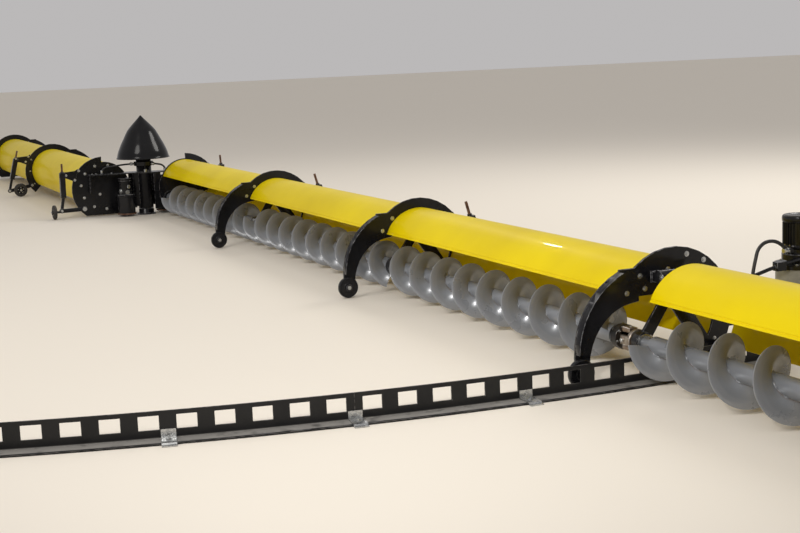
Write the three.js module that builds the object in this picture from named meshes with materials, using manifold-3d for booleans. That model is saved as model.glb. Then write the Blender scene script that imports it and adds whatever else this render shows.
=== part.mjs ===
// Bin sweep auger: a centre pivot with a spun dome, two hooded auger arms and a toothed drive track.
// Millimetres, +Z up. The pivot axis is the Z axis, the floor is Z = 0, the long arm points along +X.
import * as THREE from 'three';
import Module from 'manifold-3d';
import { mergeVertices } from 'three/addons/utils/BufferGeometryUtils.js';

const wasm = await Module();
wasm.setup();

// Flighting and auger tube
const FLIGHT_R = 152.5;
const FLIGHT_PITCH = 305;
const FLIGHT_T = 7;
const FLIGHT_STEPS = 13;
const TUBE_R = 44.5;
const TUBE_SIDES = 16;
const AXIS_Z = 172;
const GAP = 0.3;

// Bays: the plates stand at equal steps out from the pivot, the same on both arms
const ARM_OFFSET = 218;
const FIRST_PLATE = 145;
const BAY = 2913;
const PLATE_HALF = 7;
const HANGER_CLEAR = 42;
const INNER_FLIGHT_CLEAR = 240;
const plateX = (n) => FIRST_PLATE + n * BAY;

// Hoop ring, seen along the arm: Y is behind the auger, Z is up
const RING_Y = 175;
const RING_Z = 280;
const RING_R = 335;
const RING_IN = 230;
const RING_FOOT_DEG = -46;
const RING_FRONT_DEG = 152;

// Hanger inside the ring
const HANGER_TOP = [160, 402];
const HANGER_HEEL = [345, 128];

// Hood
const HOOD_Y = 175;
const HOOD_Z = 298;
const HOOD_R = 252;
const HOOD_T = 4;
const LIP_DEG = 158;
const BACK_DEG = -39.5;
const OUTER_HOOD_START = 9035;
const INNER_FLIGHT_END = 8640;
const OUTER_FLIGHT_START = 8994;

// Front arm and its roller
const ARM_Y = 30;
const ARM_Z = 150;
const ARM_R = 405;
const ARM_TOP_DEG = 113;
const ARM_END_DEG = 190;
const ARM_TOP_W = 170;
const ARM_END_W = 74;
const FLANGE_T = 6;
const FLANGE_W = 42;
const ROLLER_Y = -356;
const ROLLER_Z = 70;
const ROLLER_R = 68;
const ROLLER_W = 32;
const PIN_R = 12;

// Rear jack: a square tube with a threaded rod, over the free end of a trailing arm
const JACK_SIDE = 54;
const JACK_LENGTH = 265;
const EAR_T = 10;
const HOOP_JACKS = {
  right: { foot: [630, 205], tilt: 15.5, rod: 103, pivot: [442, 128], armEnd: [692, 79] },
  left: { foot: [676, 205], tilt: 14, rod: 95, pivot: [442, 128], armEnd: [712, 78] },
};
const END_ARM_Y = 628;
const END_JACKS = {
  right: { foot: [585, 205], tilt: 3.5, rod: 98, pivot: [394, 88], armEnd: [END_ARM_Y, 84] },
  left: { foot: [601, 205], tilt: 1, rod: 95, pivot: [394, 88], armEnd: [END_ARM_Y, 84] },
};
const JACK_EARS = {
  right: [[438, 500], [462, 462], [520, 450], [588, 444], [592, 402], [525, 392], [468, 372]],
  left: [[438, 505], [470, 486], [560, 480], [625, 478], [630, 425], [565, 415], [520, 396], [468, 372]],
};

// Rear wheels
const WHEEL_Y = 588;
const WHEEL_Z = 83;
const WHEEL_R = 80;
const WHEEL_W = 42;
const END_WHEEL_Y = 703;
const END_WHEEL_Z = 76;
const END_WHEEL_R = 73;
const END_WHEEL_W = 38;

// Drive track
const TRACK_R = 8965;
const TRACK_T = 8;
const TRACK_H = 127;
const TRACK_HOLES_ROUND = 350;
const HOLE_LOW = 45;
const HOLE_HIGH = 107;
const HOLE_W = 87;
const FLANGE_OUT = 90;
const FLANGE_HIGH = 8;
const HOLES_PER_BAY = 5;
const TRACK_FIRST_BAY = -3.574;

// Drive unit
const SPROCKET_TEETH = 5;
const SPROCKET_R = (TRACK_R + TRACK_T / 2) * SPROCKET_TEETH / TRACK_HOLES_ROUND;
const SPROCKET_TIP = SPROCKET_R + 14;
const SPROCKET_ROOT = 106;
const SPROCKET_Z = 76;
const SPROCKET_T = 20;
const DRIVE_Y = 1255;
const DRIVE_R = TRACK_R + TRACK_T / 2 - SPROCKET_R;
const DRIVE_ANGLE = Math.asin(DRIVE_Y / DRIVE_R);
const DRIVE_X = DRIVE_R * Math.cos(DRIVE_ANGLE);

// Universal joint
const JOINT_X = 8790;
const JOINT_R = 62;
const STUB_R = 30;

// Pivot
const PIN_TOP = 560;
const PIVOT_PIN_R = 50;
const POST_R = 77;
const POST_TOP = 940;
const DOME_RIM_Z = 582;
const COLLAR_R = 100;
const CONDUIT_R = 9;

const rad = (deg) => (deg * Math.PI) / 180;
const polar = (cy, cz, r, deg) => [cy + r * Math.cos(rad(deg)), cz + r * Math.sin(rad(deg))];

function toSolid(geo) {
  const plain = geo.clone();
  plain.deleteAttribute('normal');
  plain.deleteAttribute('uv');
  const merged = mergeVertices(plain, 1e-4);
  return new wasm.Manifold(
    new wasm.Mesh({
      numProp: 3,
      vertProperties: new Float32Array(merged.attributes.position.array),
      triVerts: new Uint32Array(merged.index.array),
    }),
  );
}

function toGeometry(solid) {
  const mesh = solid.getMesh();
  const geo = new THREE.BufferGeometry();
  geo.setAttribute('position', new THREE.BufferAttribute(new Float32Array(mesh.vertProperties), 3));
  geo.setIndex(new THREE.BufferAttribute(new Uint32Array(mesh.triVerts), 1));
  geo.computeVertexNormals();
  return geo;
}

function joined(geos) {
  return geos.map(toSolid).reduce((a, b) => a.add(b));
}

function cutFrom(solid, geos) {
  return geos.map(toSolid).reduce((a, b) => a.subtract(b), solid);
}

function pointShape(points) {
  return new THREE.Shape(points.map(([u, v]) => new THREE.Vector2(u, v)));
}

// A flat shape drawn in Y and Z becomes a slab between two X positions
function slabX(shape, x0, x1, curve = 10) {
  const geo = new THREE.ExtrudeGeometry(shape, { depth: x1 - x0, bevelEnabled: false, curveSegments: curve });
  const basis = new THREE.Matrix4().makeBasis(
    new THREE.Vector3(0, 1, 0),
    new THREE.Vector3(0, 0, 1),
    new THREE.Vector3(1, 0, 0),
  );
  geo.applyMatrix4(basis);
  return geo.translate(x0, 0, 0);
}

// A flat shape drawn in X and Y becomes a slab between two heights
function slabZ(shape, z0, z1, curve = 12) {
  const geo = new THREE.ExtrudeGeometry(shape, { depth: z1 - z0, bevelEnabled: false, curveSegments: curve });
  return geo.translate(0, 0, z0);
}

function rodX(y, z, r, x0, x1, sides = 20) {
  const geo = new THREE.CylinderGeometry(r, r, x1 - x0, sides);
  return geo.rotateZ(-Math.PI / 2).translate((x0 + x1) / 2, y, z);
}

function rodY(x, z, r, y0, y1, sides = 20) {
  return new THREE.CylinderGeometry(r, r, y1 - y0, sides).translate(x, (y0 + y1) / 2, z);
}

function rodZ(x, y, r, z0, z1, sides = 24) {
  return new THREE.CylinderGeometry(r, r, z1 - z0, sides).rotateX(Math.PI / 2).translate(x, y, (z0 + z1) / 2);
}

function block(x0, x1, y0, y1, z0, z1) {
  return new THREE.BoxGeometry(x1 - x0, y1 - y0, z1 - z0).translate((x0 + x1) / 2, (y0 + y1) / 2, (z0 + z1) / 2);
}

function hose(points, r, sides = 8, steps = 24) {
  const path = new THREE.CatmullRomCurve3(points.map((p) => new THREE.Vector3(...p)));
  const circle = new THREE.Shape();
  circle.absarc(0, 0, r, 0, 2 * Math.PI, false);
  return new THREE.ExtrudeGeometry(circle, {
    steps,
    extrudePath: path,
    bevelEnabled: false,
    curveSegments: sides / 2,
  });
}

// A band between two radii about a point, as a closed outline
function bandShape(cy, cz, rOut, rIn, degA, degB, steps) {
  const points = [];
  for (let i = 0; i <= steps; i += 1) {
    points.push(polar(cy, cz, rOut, degA + ((degB - degA) * i) / steps));
  }
  for (let i = steps; i >= 0; i -= 1) {
    points.push(polar(cy, cz, rIn, degA + ((degB - degA) * i) / steps));
  }
  return pointShape(points);
}

function strapShape(ay, az, by, bz, half) {
  const length = Math.hypot(by - ay, bz - az);
  const ny = (-(bz - az) / length) * half;
  const nz = ((by - ay) / length) * half;
  return pointShape([
    [ay + ny, az + nz],
    [ay - ny, az - nz],
    [by - ny, bz - nz],
    [by + ny, bz + nz],
  ]);
}

const group = new THREE.Group();
group.name = 'bin_sweep_auger';

const COLOURS = {
  yellow: 0xe8c411,
  black: 0x16171a,
  steel: 0x767c86,
  rust: 0x6a4a35,
  galvanised: 0xa7abad,
  rubber: 0x2b2a28,
  gear: 0x77766c,
};

function addPiece(name, shape, colour, metal) {
  const geo = shape.isBufferGeometry ? shape : toGeometry(shape);
  const material = new THREE.MeshStandardMaterial({
    color: COLOURS[colour],
    metalness: metal,
    roughness: 0.45,
  });
  material.name = colour + '_' + name;
  const mesh = new THREE.Mesh(geo, material);
  mesh.name = name;
  group.add(mesh);
}

// Pieces are drawn as if the arm ran along +X through Y = 0, then put on their own side of the pivot
function onArm(shape, side) {
  const geo = shape.isBufferGeometry ? shape : toGeometry(shape);
  geo.translate(0, ARM_OFFSET, 0);
  if (side === 'left') {
    geo.rotateZ(Math.PI);
  }
  return geo;
}

// Front arm: a curved plate that narrows down to the roller
function frontArmShape() {
  const steps = 9;
  const points = [[-20, 532]];
  points.push([-128, 532]);
  for (let i = 0; i <= steps; i += 1) {
    points.push(polar(ARM_Y, ARM_Z, ARM_R, ARM_TOP_DEG + ((ARM_END_DEG - ARM_TOP_DEG) * i) / steps));
  }
  for (let i = steps; i >= 0; i -= 1) {
    const width = ARM_TOP_W + ((ARM_END_W - ARM_TOP_W) * i) / steps;
    points.push(polar(ARM_Y, ARM_Z, ARM_R - width, ARM_TOP_DEG + ((ARM_END_DEG - ARM_TOP_DEG) * i) / steps));
  }
  points.push([-20, 372]);
  return pointShape(points);
}

function frontArmParts(x) {
  const flange = bandShape(ARM_Y, ARM_Z, ARM_R, ARM_R - FLANGE_T, ARM_TOP_DEG, 179, 9);
  return [
    slabX(frontArmShape(), x - PLATE_HALF, x + PLATE_HALF),
    slabX(flange, x + PLATE_HALF - 2, x + PLATE_HALF + FLANGE_W),
    rodX(ROLLER_Y, ROLLER_Z, 38, x - PLATE_HALF, x + PLATE_HALF, 16),
    rodX(ROLLER_Y, ROLLER_Z, PIN_R, x, x + PLATE_HALF + 5 + ROLLER_W + 8, 12),
    rodX(ROLLER_Y, ROLLER_Z, 22, x + PLATE_HALF + 5 + ROLLER_W + 3, x + PLATE_HALF + 5 + ROLLER_W + 9, 12),
  ];
}

// Hoop: an open ring with a two-legged hanger, one leg down to the auger bearing and one to the ring's heel
function hoop(x, bearingR) {
  const from = x - PLATE_HALF;
  const to = x + PLATE_HALF;
  return joined([
    slabX(bandShape(RING_Y, RING_Z, RING_R, RING_IN, RING_FOOT_DEG, RING_FRONT_DEG, 18), from, to),
    rodX(0, AXIS_Z, bearingR, x - 24, x + 24, 16),
    slabX(strapShape(HANGER_TOP[0], HANGER_TOP[1], 0, AXIS_Z, 30), from, to),
    slabX(strapShape(HANGER_TOP[0], HANGER_TOP[1], HANGER_HEEL[0], HANGER_HEEL[1], 42), from, to),
    slabX(strapShape(HANGER_TOP[0] + 5, 525, HANGER_TOP[0], HANGER_TOP[1] - 20, 62), from, to),
    ...frontArmParts(x),
  ]);
}

// Outer end plate: a whole disc with a flat foot, a bearing collar and a front arm
function outerEndPlate(x) {
  const points = [];
  const steps = 26;
  for (let i = 0; i <= steps; i += 1) {
    points.push(polar(RING_Y, RING_Z, RING_R, -49 + ((229 + 49) * i) / steps));
  }
  return joined([
    slabX(pointShape(points), x - PLATE_HALF, x + PLATE_HALF),
    rodX(0, AXIS_Z, 64, x - 24, x + PLATE_HALF, 16),
    ...frontArmParts(x),
  ]);
}

// Inner end plate: the rear of the disc stands proud, the front follows the hood and drops to a narrow foot
function innerEndPlate(x) {
  const points = [];
  const rearSteps = 14;
  for (let i = 0; i <= rearSteps; i += 1) {
    points.push(polar(RING_Y, RING_Z, RING_R, -53 + ((88 + 53) * i) / rearSteps));
  }
  const frontSteps = 8;
  for (let i = 0; i <= frontSteps; i += 1) {
    points.push(polar(HOOD_Y, HOOD_Z, HOOD_R + 10, 87 + ((LIP_DEG - 87) * i) / frontSteps));
  }
  points.push([-104, 330], [-104, 190], [-66, 70], [-20, 12.5]);
  return joined([
    slabX(pointShape(points), x - PLATE_HALF, x + PLATE_HALF),
    rodX(0, AXIS_Z, 64, x - PLATE_HALF, x + 24, 16),
  ]);
}

function shaftBore(x, r) {
  const sides = 16;
  return rodX(0, AXIS_Z, (r + 0.4) / Math.cos(Math.PI / sides), x - 200, x + 200, sides);
}

function hood(x0, x1) {
  return slabX(bandShape(HOOD_Y, HOOD_Z, HOOD_R, HOOD_R - HOOD_T, BACK_DEG, LIP_DEG, 20), x0, x1);
}

// Flighting: a flat strip wound round the tube
function flight(x0, x1, crestX) {
  const turns = (x1 - x0) / FLIGHT_PITCH;
  const steps = Math.round(turns * FLIGHT_STEPS);
  const inner = (TUBE_R + 0.4) / Math.cos(Math.PI / FLIGHT_STEPS);
  const strip = new THREE.BoxGeometry(1, 1, 1, steps, 1, 1);
  const place = strip.attributes.position;
  for (let i = 0; i < place.count; i += 1) {
    const x = x0 + (place.getX(i) + 0.5) * (x1 - x0);
    const r = inner + (place.getY(i) + 0.5) * (FLIGHT_R - inner);
    const turn = Math.PI / 2 + (2 * Math.PI * (x - crestX)) / FLIGHT_PITCH;
    place.setXYZ(i, x - place.getZ(i) * FLIGHT_T, r * Math.cos(turn), AXIS_Z + r * Math.sin(turn));
  }
  return strip;
}

function roller(x) {
  const sides = 20;
  const disc = toSolid(rodX(ROLLER_Y, ROLLER_Z, ROLLER_R, x + PLATE_HALF + 5, x + PLATE_HALF + 5 + ROLLER_W - 2, sides));
  const bore = rodX(ROLLER_Y, ROLLER_Z, (PIN_R + 0.4) / Math.cos(Math.PI / 12), x - 20, x + 80, 12);
  return cutFrom(disc, [bore]);
}

// Rear jack: a tube on an ear off the ring, with a rod and nut over it and a fork down to the trailing arm
function rearJack(x, jack, ear, tail) {
  const face = x - PLATE_HALF - GAP;
  const middle = face + 10;
  const lean = (geo) => geo.rotateX(rad(jack.tilt)).translate(0, jack.foot[0], jack.foot[1]);
  return joined([
    slabX(strapShape(...jack.pivot, ...jack.armEnd, 21), face - EAR_T, face),
    rodX(...jack.pivot, 30, face - EAR_T, face, 16),
    rodX(...jack.armEnd, 24, face - EAR_T, face + 14, 14),
    slabX(pointShape(ear), face - EAR_T, face),
    lean(block(face - 16, face + 38, -JACK_SIDE / 2, JACK_SIDE / 2, 12, JACK_LENGTH)),
    lean(rodZ(middle, 0, 9, JACK_LENGTH - 5, JACK_LENGTH + jack.rod, 8)),
    lean(rodZ(middle, 0, 18, JACK_LENGTH - 1, JACK_LENGTH + 16, 6)),
    slabX(strapShape(...jack.armEnd, jack.foot[0], jack.foot[1] + 20, 15), face - 4, face + 12),
    ...tail(face),
  ]);
}

// What a rear wheel turns on: a stub off the trailing arm, with a head that keeps the wheel on
const wheelPin = (face) => [
  rodX(WHEEL_Y, WHEEL_Z, PIN_R, face - EAR_T - 8 - WHEEL_W - 6, face - 5, 12),
  rodX(WHEEL_Y, WHEEL_Z, 22, face - EAR_T - 8 - WHEEL_W - 7, face - EAR_T - 8 - WHEEL_W, 12),
];
const endWheelPin = (face) => {
  const out = END_WHEEL_Y + END_WHEEL_W / 2;
  return [
    rodY(face - 5, END_WHEEL_Z, PIN_R, END_ARM_Y + 5, out + 10, 12),
    rodY(face - 5, END_WHEEL_Z, 22, out + 4, out + 11, 12),
  ];
};

function rearWheel(x) {
  const face = x - PLATE_HALF - GAP - EAR_T;
  const disc = toSolid(rodX(WHEEL_Y, WHEEL_Z, WHEEL_R, face - 7 - WHEEL_W, face - 7, 20));
  const bore = rodX(WHEEL_Y, WHEEL_Z, (PIN_R + 0.4) / Math.cos(Math.PI / 12), face - 100, face + 20, 12);
  return cutFrom(disc, [bore]);
}

function endWheel(x) {
  const face = x - PLATE_HALF - GAP;
  const half = END_WHEEL_W / 2;
  const disc = toSolid(rodY(face - 5, END_WHEEL_Z, END_WHEEL_R, END_WHEEL_Y - half, END_WHEEL_Y + half, 20));
  const boreR = (PIN_R + 0.4) / Math.cos(Math.PI / 12);
  const bore = rodY(face - 5, END_WHEEL_Z, boreR, END_WHEEL_Y - 60, END_WHEEL_Y + 60, 12);
  return cutFrom(disc, [bore]);
}

// Both arms, bay by bay
const BAYS = { right: 4, left: 2 };
const CRESTS = { right: [620, 3355, 6147, 9230], left: [620, 3355] };
for (const side of ['right', 'left']) {
  const tag = side === 'right' ? 'r' : 'l';
  const last = BAYS[side];
  for (let n = 0; n <= last; n += 1) {
    const x = plateX(n);
    if (n === 0) {
      const plate = cutFrom(innerEndPlate(x), [shaftBore(x, STUB_R)]);
      addPiece('end_plate_' + tag + n, onArm(plate, side), 'black', 0.2);
    } else if (n === last) {
      const plate = cutFrom(outerEndPlate(x), [shaftBore(x, STUB_R)]);
      addPiece('end_plate_' + tag + n, onArm(plate, side), 'black', 0.2);
    } else {
      const shaftR = n === 3 ? STUB_R : TUBE_R;
      addPiece('hoop_' + tag + n, onArm(cutFrom(hoop(x, shaftR + 20), [shaftBore(x, shaftR)]), side), 'black', 0.2);
    }
    if (n > 0) {
      addPiece('roller_' + tag + n, onArm(roller(x), side), 'black', 0.2);
      const from = n === 4 ? OUTER_HOOD_START : plateX(n - 1) + PLATE_HALF + GAP;
      addPiece('hood_' + tag + n, onArm(hood(from, x - PLATE_HALF - GAP), side), 'yellow', 0.1);
      let flightFrom = plateX(n - 1) + (n === 1 ? INNER_FLIGHT_CLEAR : HANGER_CLEAR);
      let flightTo = x - HANGER_CLEAR;
      if (n === 4) {
        flightFrom = OUTER_FLIGHT_START;
      }
      if (side === 'right' && n === 3) {
        flightTo = INNER_FLIGHT_END;
      }
      addPiece('flight_' + tag + n, onArm(flight(flightFrom, flightTo, CRESTS[side][n - 1]), side), 'steel', 0.7);
    }
    if (n < 3) {
      const jack = n === 0
        ? rearJack(x, END_JACKS[side], JACK_EARS[side], endWheelPin)
        : rearJack(x, HOOP_JACKS[side], JACK_EARS[side], wheelPin);
      addPiece('jack_' + tag + n, onArm(jack, side), 'black', 0.2);
      addPiece('wheel_' + tag + n, onArm(n === 0 ? endWheel(x) : rearWheel(x), side), 'rubber', 0);
    }
  }
}

// Auger tubes: each steps down to a journal where it passes a bearing in an end plate
const startX = FIRST_PLATE - PLATE_HALF;
const leftTube = [
  rodX(0, AXIS_Z, STUB_R, startX, plateX(0) + 40, TUBE_SIDES),
  rodX(0, AXIS_Z, TUBE_R, plateX(0) + 30, plateX(2) - 30, TUBE_SIDES),
  rodX(0, AXIS_Z, STUB_R, plateX(2) - 40, plateX(2) + PLATE_HALF, TUBE_SIDES),
];
addPiece('tube_l', onArm(joined(leftTube), 'left'), 'steel', 0.7);
const innerTube = [
  rodX(0, AXIS_Z, STUB_R, startX, plateX(0) + 40, TUBE_SIDES),
  rodX(0, AXIS_Z, TUBE_R, plateX(0) + 30, JOINT_X - 125, TUBE_SIDES),
];
addPiece('tube_r_inner', onArm(joined(innerTube), 'right'), 'steel', 0.7);
const outerTube = [
  rodX(0, AXIS_Z, STUB_R, JOINT_X + 62, 8990, TUBE_SIDES),
  rodX(0, AXIS_Z, TUBE_R, 8984, plateX(4) - 30, TUBE_SIDES),
  rodX(0, AXIS_Z, STUB_R, plateX(4) - 40, plateX(4) + PLATE_HALF, TUBE_SIDES),
];
addPiece('tube_r_outer', onArm(joined(outerTube), 'right'), 'steel', 0.7);

// Universal joint: two yokes at right angles round a cross
const crossParts = [
  rodX(0, AXIS_Z, JOINT_R, JOINT_X - 90, JOINT_X - 46, 20),
  rodX(0, AXIS_Z, 50, JOINT_X - 125 + GAP, JOINT_X - 85, 20),
  block(JOINT_X - 50, JOINT_X + 20, -24, 24, AXIS_Z + 32, AXIS_Z + 56),
  block(JOINT_X - 50, JOINT_X + 20, -24, 24, AXIS_Z - 56, AXIS_Z - 32),
  rodX(0, AXIS_Z, 56, JOINT_X + 40, JOINT_X + 62 - GAP, 20),
  block(JOINT_X - 20, JOINT_X + 45, 30, 52, AXIS_Z - 22, AXIS_Z + 22),
  block(JOINT_X - 20, JOINT_X + 45, -52, -30, AXIS_Z - 22, AXIS_Z + 22),
  rodZ(JOINT_X, 0, 12, AXIS_Z - 59, AXIS_Z + 59, 12),
  rodY(JOINT_X, AXIS_Z, 12, -57, 57, 12),
  rodX(0, AXIS_Z, 20, JOINT_X - 17, JOINT_X + 17, 12),
];
addPiece('universal_joint', onArm(joined(crossParts), 'right'), 'rust', 0.6);

// Knuckle: a clevis and eye on the third hoop, with a tongue that lies under the outer hood
const KNUCKLE_Y = 84;
const KNUCKLE_Z = 490;
const hoopFace = plateX(3) + PLATE_HALF + GAP;
const knuckleParts = [
  block(hoopFace, hoopFace + 70, KNUCKLE_Y - 38, KNUCKLE_Y - 20, KNUCKLE_Z - 30, KNUCKLE_Z + 20),
  block(hoopFace, hoopFace + 70, KNUCKLE_Y + 20, KNUCKLE_Y + 38, KNUCKLE_Z - 30, KNUCKLE_Z + 20),
  block(hoopFace, hoopFace + 12, KNUCKLE_Y - 46, KNUCKLE_Y + 46, KNUCKLE_Z - 34, KNUCKLE_Z + 22),
  rodY(hoopFace + 70, KNUCKLE_Z, 34, KNUCKLE_Y - 44, KNUCKLE_Y + 44, 18),
  block(hoopFace + 90, OUTER_HOOD_START + 70, KNUCKLE_Y - 16, KNUCKLE_Y + 16, KNUCKLE_Z - 14, KNUCKLE_Z + 12),
  block(OUTER_HOOD_START + 20, OUTER_HOOD_START + 70, KNUCKLE_Y - 34, KNUCKLE_Y + 30, KNUCKLE_Z + 8, 511),
];
addPiece('knuckle_r3', onArm(joined(knuckleParts), 'right'), 'black', 0.2);

// Drive track: an angle rail bent to a circle, with square holes through its upright leg
const HOLE_STEP = (2 * Math.PI) / TRACK_HOLES_ROUND;
function trackPiece(firstHole, holes) {
  const a0 = firstHole * HOLE_STEP;
  const halfHole = HOLE_W / 2 / TRACK_R;
  const angles = [a0];
  for (let i = 0; i < holes; i += 1) {
    const middle = a0 + (i + 0.5) * HOLE_STEP;
    angles.push(middle - halfHole, middle + halfHole);
  }
  angles.push(a0 + holes * HOLE_STEP);
  const sector = (rIn, rOut) => {
    const out = angles.map((a) => [rOut * Math.cos(a), rOut * Math.sin(a)]);
    const back = [...angles].reverse().map((a) => [rIn * Math.cos(a), rIn * Math.sin(a)]);
    return pointShape([...out, ...back]);
  };
  const leg = slabZ(sector(TRACK_R, TRACK_R + TRACK_T), 0, TRACK_H);
  const flange = slabZ(sector(TRACK_R, TRACK_R + TRACK_T + FLANGE_OUT), 0, FLANGE_HIGH);
  const cuts = [];
  for (let i = 0; i < holes; i += 1) {
    const hole = block(TRACK_R - 40, TRACK_R + 60, -HOLE_W / 2, HOLE_W / 2, HOLE_LOW, HOLE_HIGH);
    cuts.push(hole.rotateZ(a0 + (i + 0.5) * HOLE_STEP));
  }
  return cutFrom(joined([leg, flange]), cuts);
}
const firstHole = HOLES_PER_BAY * TRACK_FIRST_BAY;
const END_SLIT = 0.00002;
addPiece('track_1', trackPiece(firstHole, 10), 'black', 0.3);
addPiece('track_2', trackPiece(firstHole + 10 + END_SLIT / HOLE_STEP, 10), 'black', 0.3);
addPiece('track_3', trackPiece(firstHole + 20 + (2 * END_SLIT) / HOLE_STEP, 10), 'black', 0.3);

// Drive unit: sprocket, gear unit, motor, its support and its conduit
function sprocket() {
  const shape = new THREE.Shape();
  const step = (2 * Math.PI) / SPROCKET_TEETH;
  const phase = DRIVE_ANGLE + toothPhase;
  const corners = [
    [SPROCKET_ROOT, -0.3],
    [SPROCKET_ROOT + 8, -0.2],
    [SPROCKET_TIP - 6, -0.115],
    [SPROCKET_TIP, -0.07],
    [SPROCKET_TIP, 0.07],
    [SPROCKET_TIP - 6, 0.115],
    [SPROCKET_ROOT + 8, 0.2],
    [SPROCKET_ROOT, 0.3],
  ];
  for (let i = 0; i < SPROCKET_TEETH; i += 1) {
    corners.forEach(([r, offset], k) => {
      const a = phase + i * step + offset;
      if (i === 0 && k === 0) {
        shape.moveTo(r * Math.cos(a), r * Math.sin(a));
      } else {
        shape.lineTo(r * Math.cos(a), r * Math.sin(a));
      }
    });
  }
  shape.closePath();
  const disc = slabZ(shape, SPROCKET_Z - SPROCKET_T / 2, SPROCKET_Z + SPROCKET_T / 2);
  const shaft = rodZ(0, 0, 26, SPROCKET_Z, 150, 16);
  return toGeometry(joined([disc, shaft])).translate(DRIVE_X, DRIVE_Y, 0);
}
// The hole nearest the sprocket, seen from the pivot, sets where its teeth stand
const holeAt = DRIVE_ANGLE / HOLE_STEP - firstHole - 0.5 - (2 * END_SLIT) / HOLE_STEP;
const toothPhase = -((holeAt - Math.round(holeAt)) * 2 * Math.PI) / SPROCKET_TEETH;
addPiece('drive_sprocket', sprocket(), 'galvanised', 0.7);

const DRIVE_SIDES = 24;
const NECK_R = 60;
const GEAR_R = 118;
const GEAR_TOP = 440;
const gearBore = rodZ(DRIVE_X, DRIVE_Y, 26.4 / Math.cos(Math.PI / 16), 90, 152, 16);
const gearBody = joined([
  rodZ(DRIVE_X, DRIVE_Y, GEAR_R, 128, 418, DRIVE_SIDES),
  rodZ(DRIVE_X, DRIVE_Y, 125, 416, GEAR_TOP, DRIVE_SIDES),
  rodZ(DRIVE_X, DRIVE_Y, NECK_R, 100, 130, DRIVE_SIDES),
]);
addPiece('drive_gear_unit', cutFrom(gearBody, [gearBore]), 'gear', 0.3);

const BOX_FACE = DRIVE_Y - 75;
const CONDUIT_END_Z = 507;
const motorBody = joined([
  rodZ(DRIVE_X, DRIVE_Y, NECK_R, GEAR_TOP + GAP, 525, DRIVE_SIDES),
  rodZ(DRIVE_X, DRIVE_Y, 80, 521, 655, DRIVE_SIDES),
  rodZ(DRIVE_X, DRIVE_Y, 86, 652, 686, DRIVE_SIDES),
  block(DRIVE_X - 22, DRIVE_X + 26, BOX_FACE, DRIVE_Y - 40, 494, 540),
]);
addPiece('drive_motor', motorBody, 'black', 0.2);

// The support is bolted to the back of the third hoop: a tube to a ring round the gear unit, a strut to its neck
const hoopBackY = ARM_OFFSET + RING_Y + RING_R;
const hoopX = plateX(3);
const SUPPORT_Z = 260;
const STRUT_X = 8830;
const supportFace = hoopX - PLATE_HALF - GAP;
const supportBody = joined([
  block(supportFace - 12, supportFace, hoopBackY - 65, hoopBackY + 120, 190, 400),
  hose(
    [[hoopX - 40, hoopBackY + 60, SUPPORT_Z], [hoopX - 90, hoopBackY + 300, SUPPORT_Z + 2],
      [DRIVE_X + 20, DRIVE_Y - 105, SUPPORT_Z + 2]],
    32,
    12,
    6,
  ),
  block(hoopX - 60, supportFace - 6, hoopBackY + 30, hoopBackY + 100, SUPPORT_Z - 35, SUPPORT_Z + 35),
  rodZ(DRIVE_X, DRIVE_Y, 140, SUPPORT_Z - 20, SUPPORT_Z + 24, DRIVE_SIDES),
  block(STRUT_X - 14, supportFace - 6, hoopBackY + 62, hoopBackY + 86, 366, 394),
  hose([[STRUT_X, hoopBackY + 70, 382], [STRUT_X, 985, 432], [STRUT_X, 1215, 473]], 10, 8, 4),
  block(STRUT_X - 20, STRUT_X + 20, 1040, 1098, 424, 470),
  rodZ(DRIVE_X, DRIVE_Y, 88, 456, 488, DRIVE_SIDES),
]);
const supportBores = [
  rodZ(DRIVE_X, DRIVE_Y, GEAR_R + GAP, 200, 430, DRIVE_SIDES),
  rodZ(DRIVE_X, DRIVE_Y, NECK_R + GAP, 430, 520, DRIVE_SIDES),
];
addPiece('drive_support', cutFrom(supportBody, supportBores), 'black', 0.2);

// Drive conduit: from the box on the motor in a loop down to the support tube, then along the backs of the hoops
const CONDUIT_Y = hoopBackY + CONDUIT_R + GAP;
const CONDUIT_Z = 280;
const conduitLoop = [
  [8760, BOX_FACE - GAP, CONDUIT_END_Z], [8760, BOX_FACE - 12, CONDUIT_END_Z], [8760, 1143, 535],
  [8760, 1104, 558],
  [8760, 1062, 565], [8760, 1022, 555], [8760, 992, 528], [8760, 976, 482], [8760, 962, 425],
  [8764, 950, 370], [8772, 930, 330], [8776, 890, 310], [8770, 840, 303], [8740, 780, 298],
  [8690, 748, 288], [8640, CONDUIT_Y, CONDUIT_Z], [8600, CONDUIT_Y, CONDUIT_Z],
];
const conduitTail = [
  [200, CONDUIT_Y, CONDUIT_Z], [160, CONDUIT_Y, CONDUIT_Z], [131, CONDUIT_Y, CONDUIT_Z + 2],
  [110, 724, 300], [97, 690, 360],
  [95, 640, 430], [95, 590, 478], [95, 545, 488], [95, 504, 470], [95, 504, 442 + GAP],
];
const conduitBody = joined([
  hose(conduitLoop, CONDUIT_R, 8, 38),
  rodX(CONDUIT_Y, CONDUIT_Z, CONDUIT_R - 0.2, 190, 8610, 8),
  hose(conduitTail, CONDUIT_R, 8, 20),
]);
addPiece('drive_conduit', conduitBody, 'rubber', 0);

// Pivot base: a floor plate, a pedestal and the pin that the sweep turns on
const baseBody = joined([
  rodZ(0, 0, 96, 0, 14, 28),
  rodZ(0, 0, POST_R, 10, 60, 28),
  rodZ(0, 0, PIVOT_PIN_R, 50, PIN_TOP, 24),
]);
addPiece('pivot_base', baseBody, 'black', 0.3);

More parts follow.
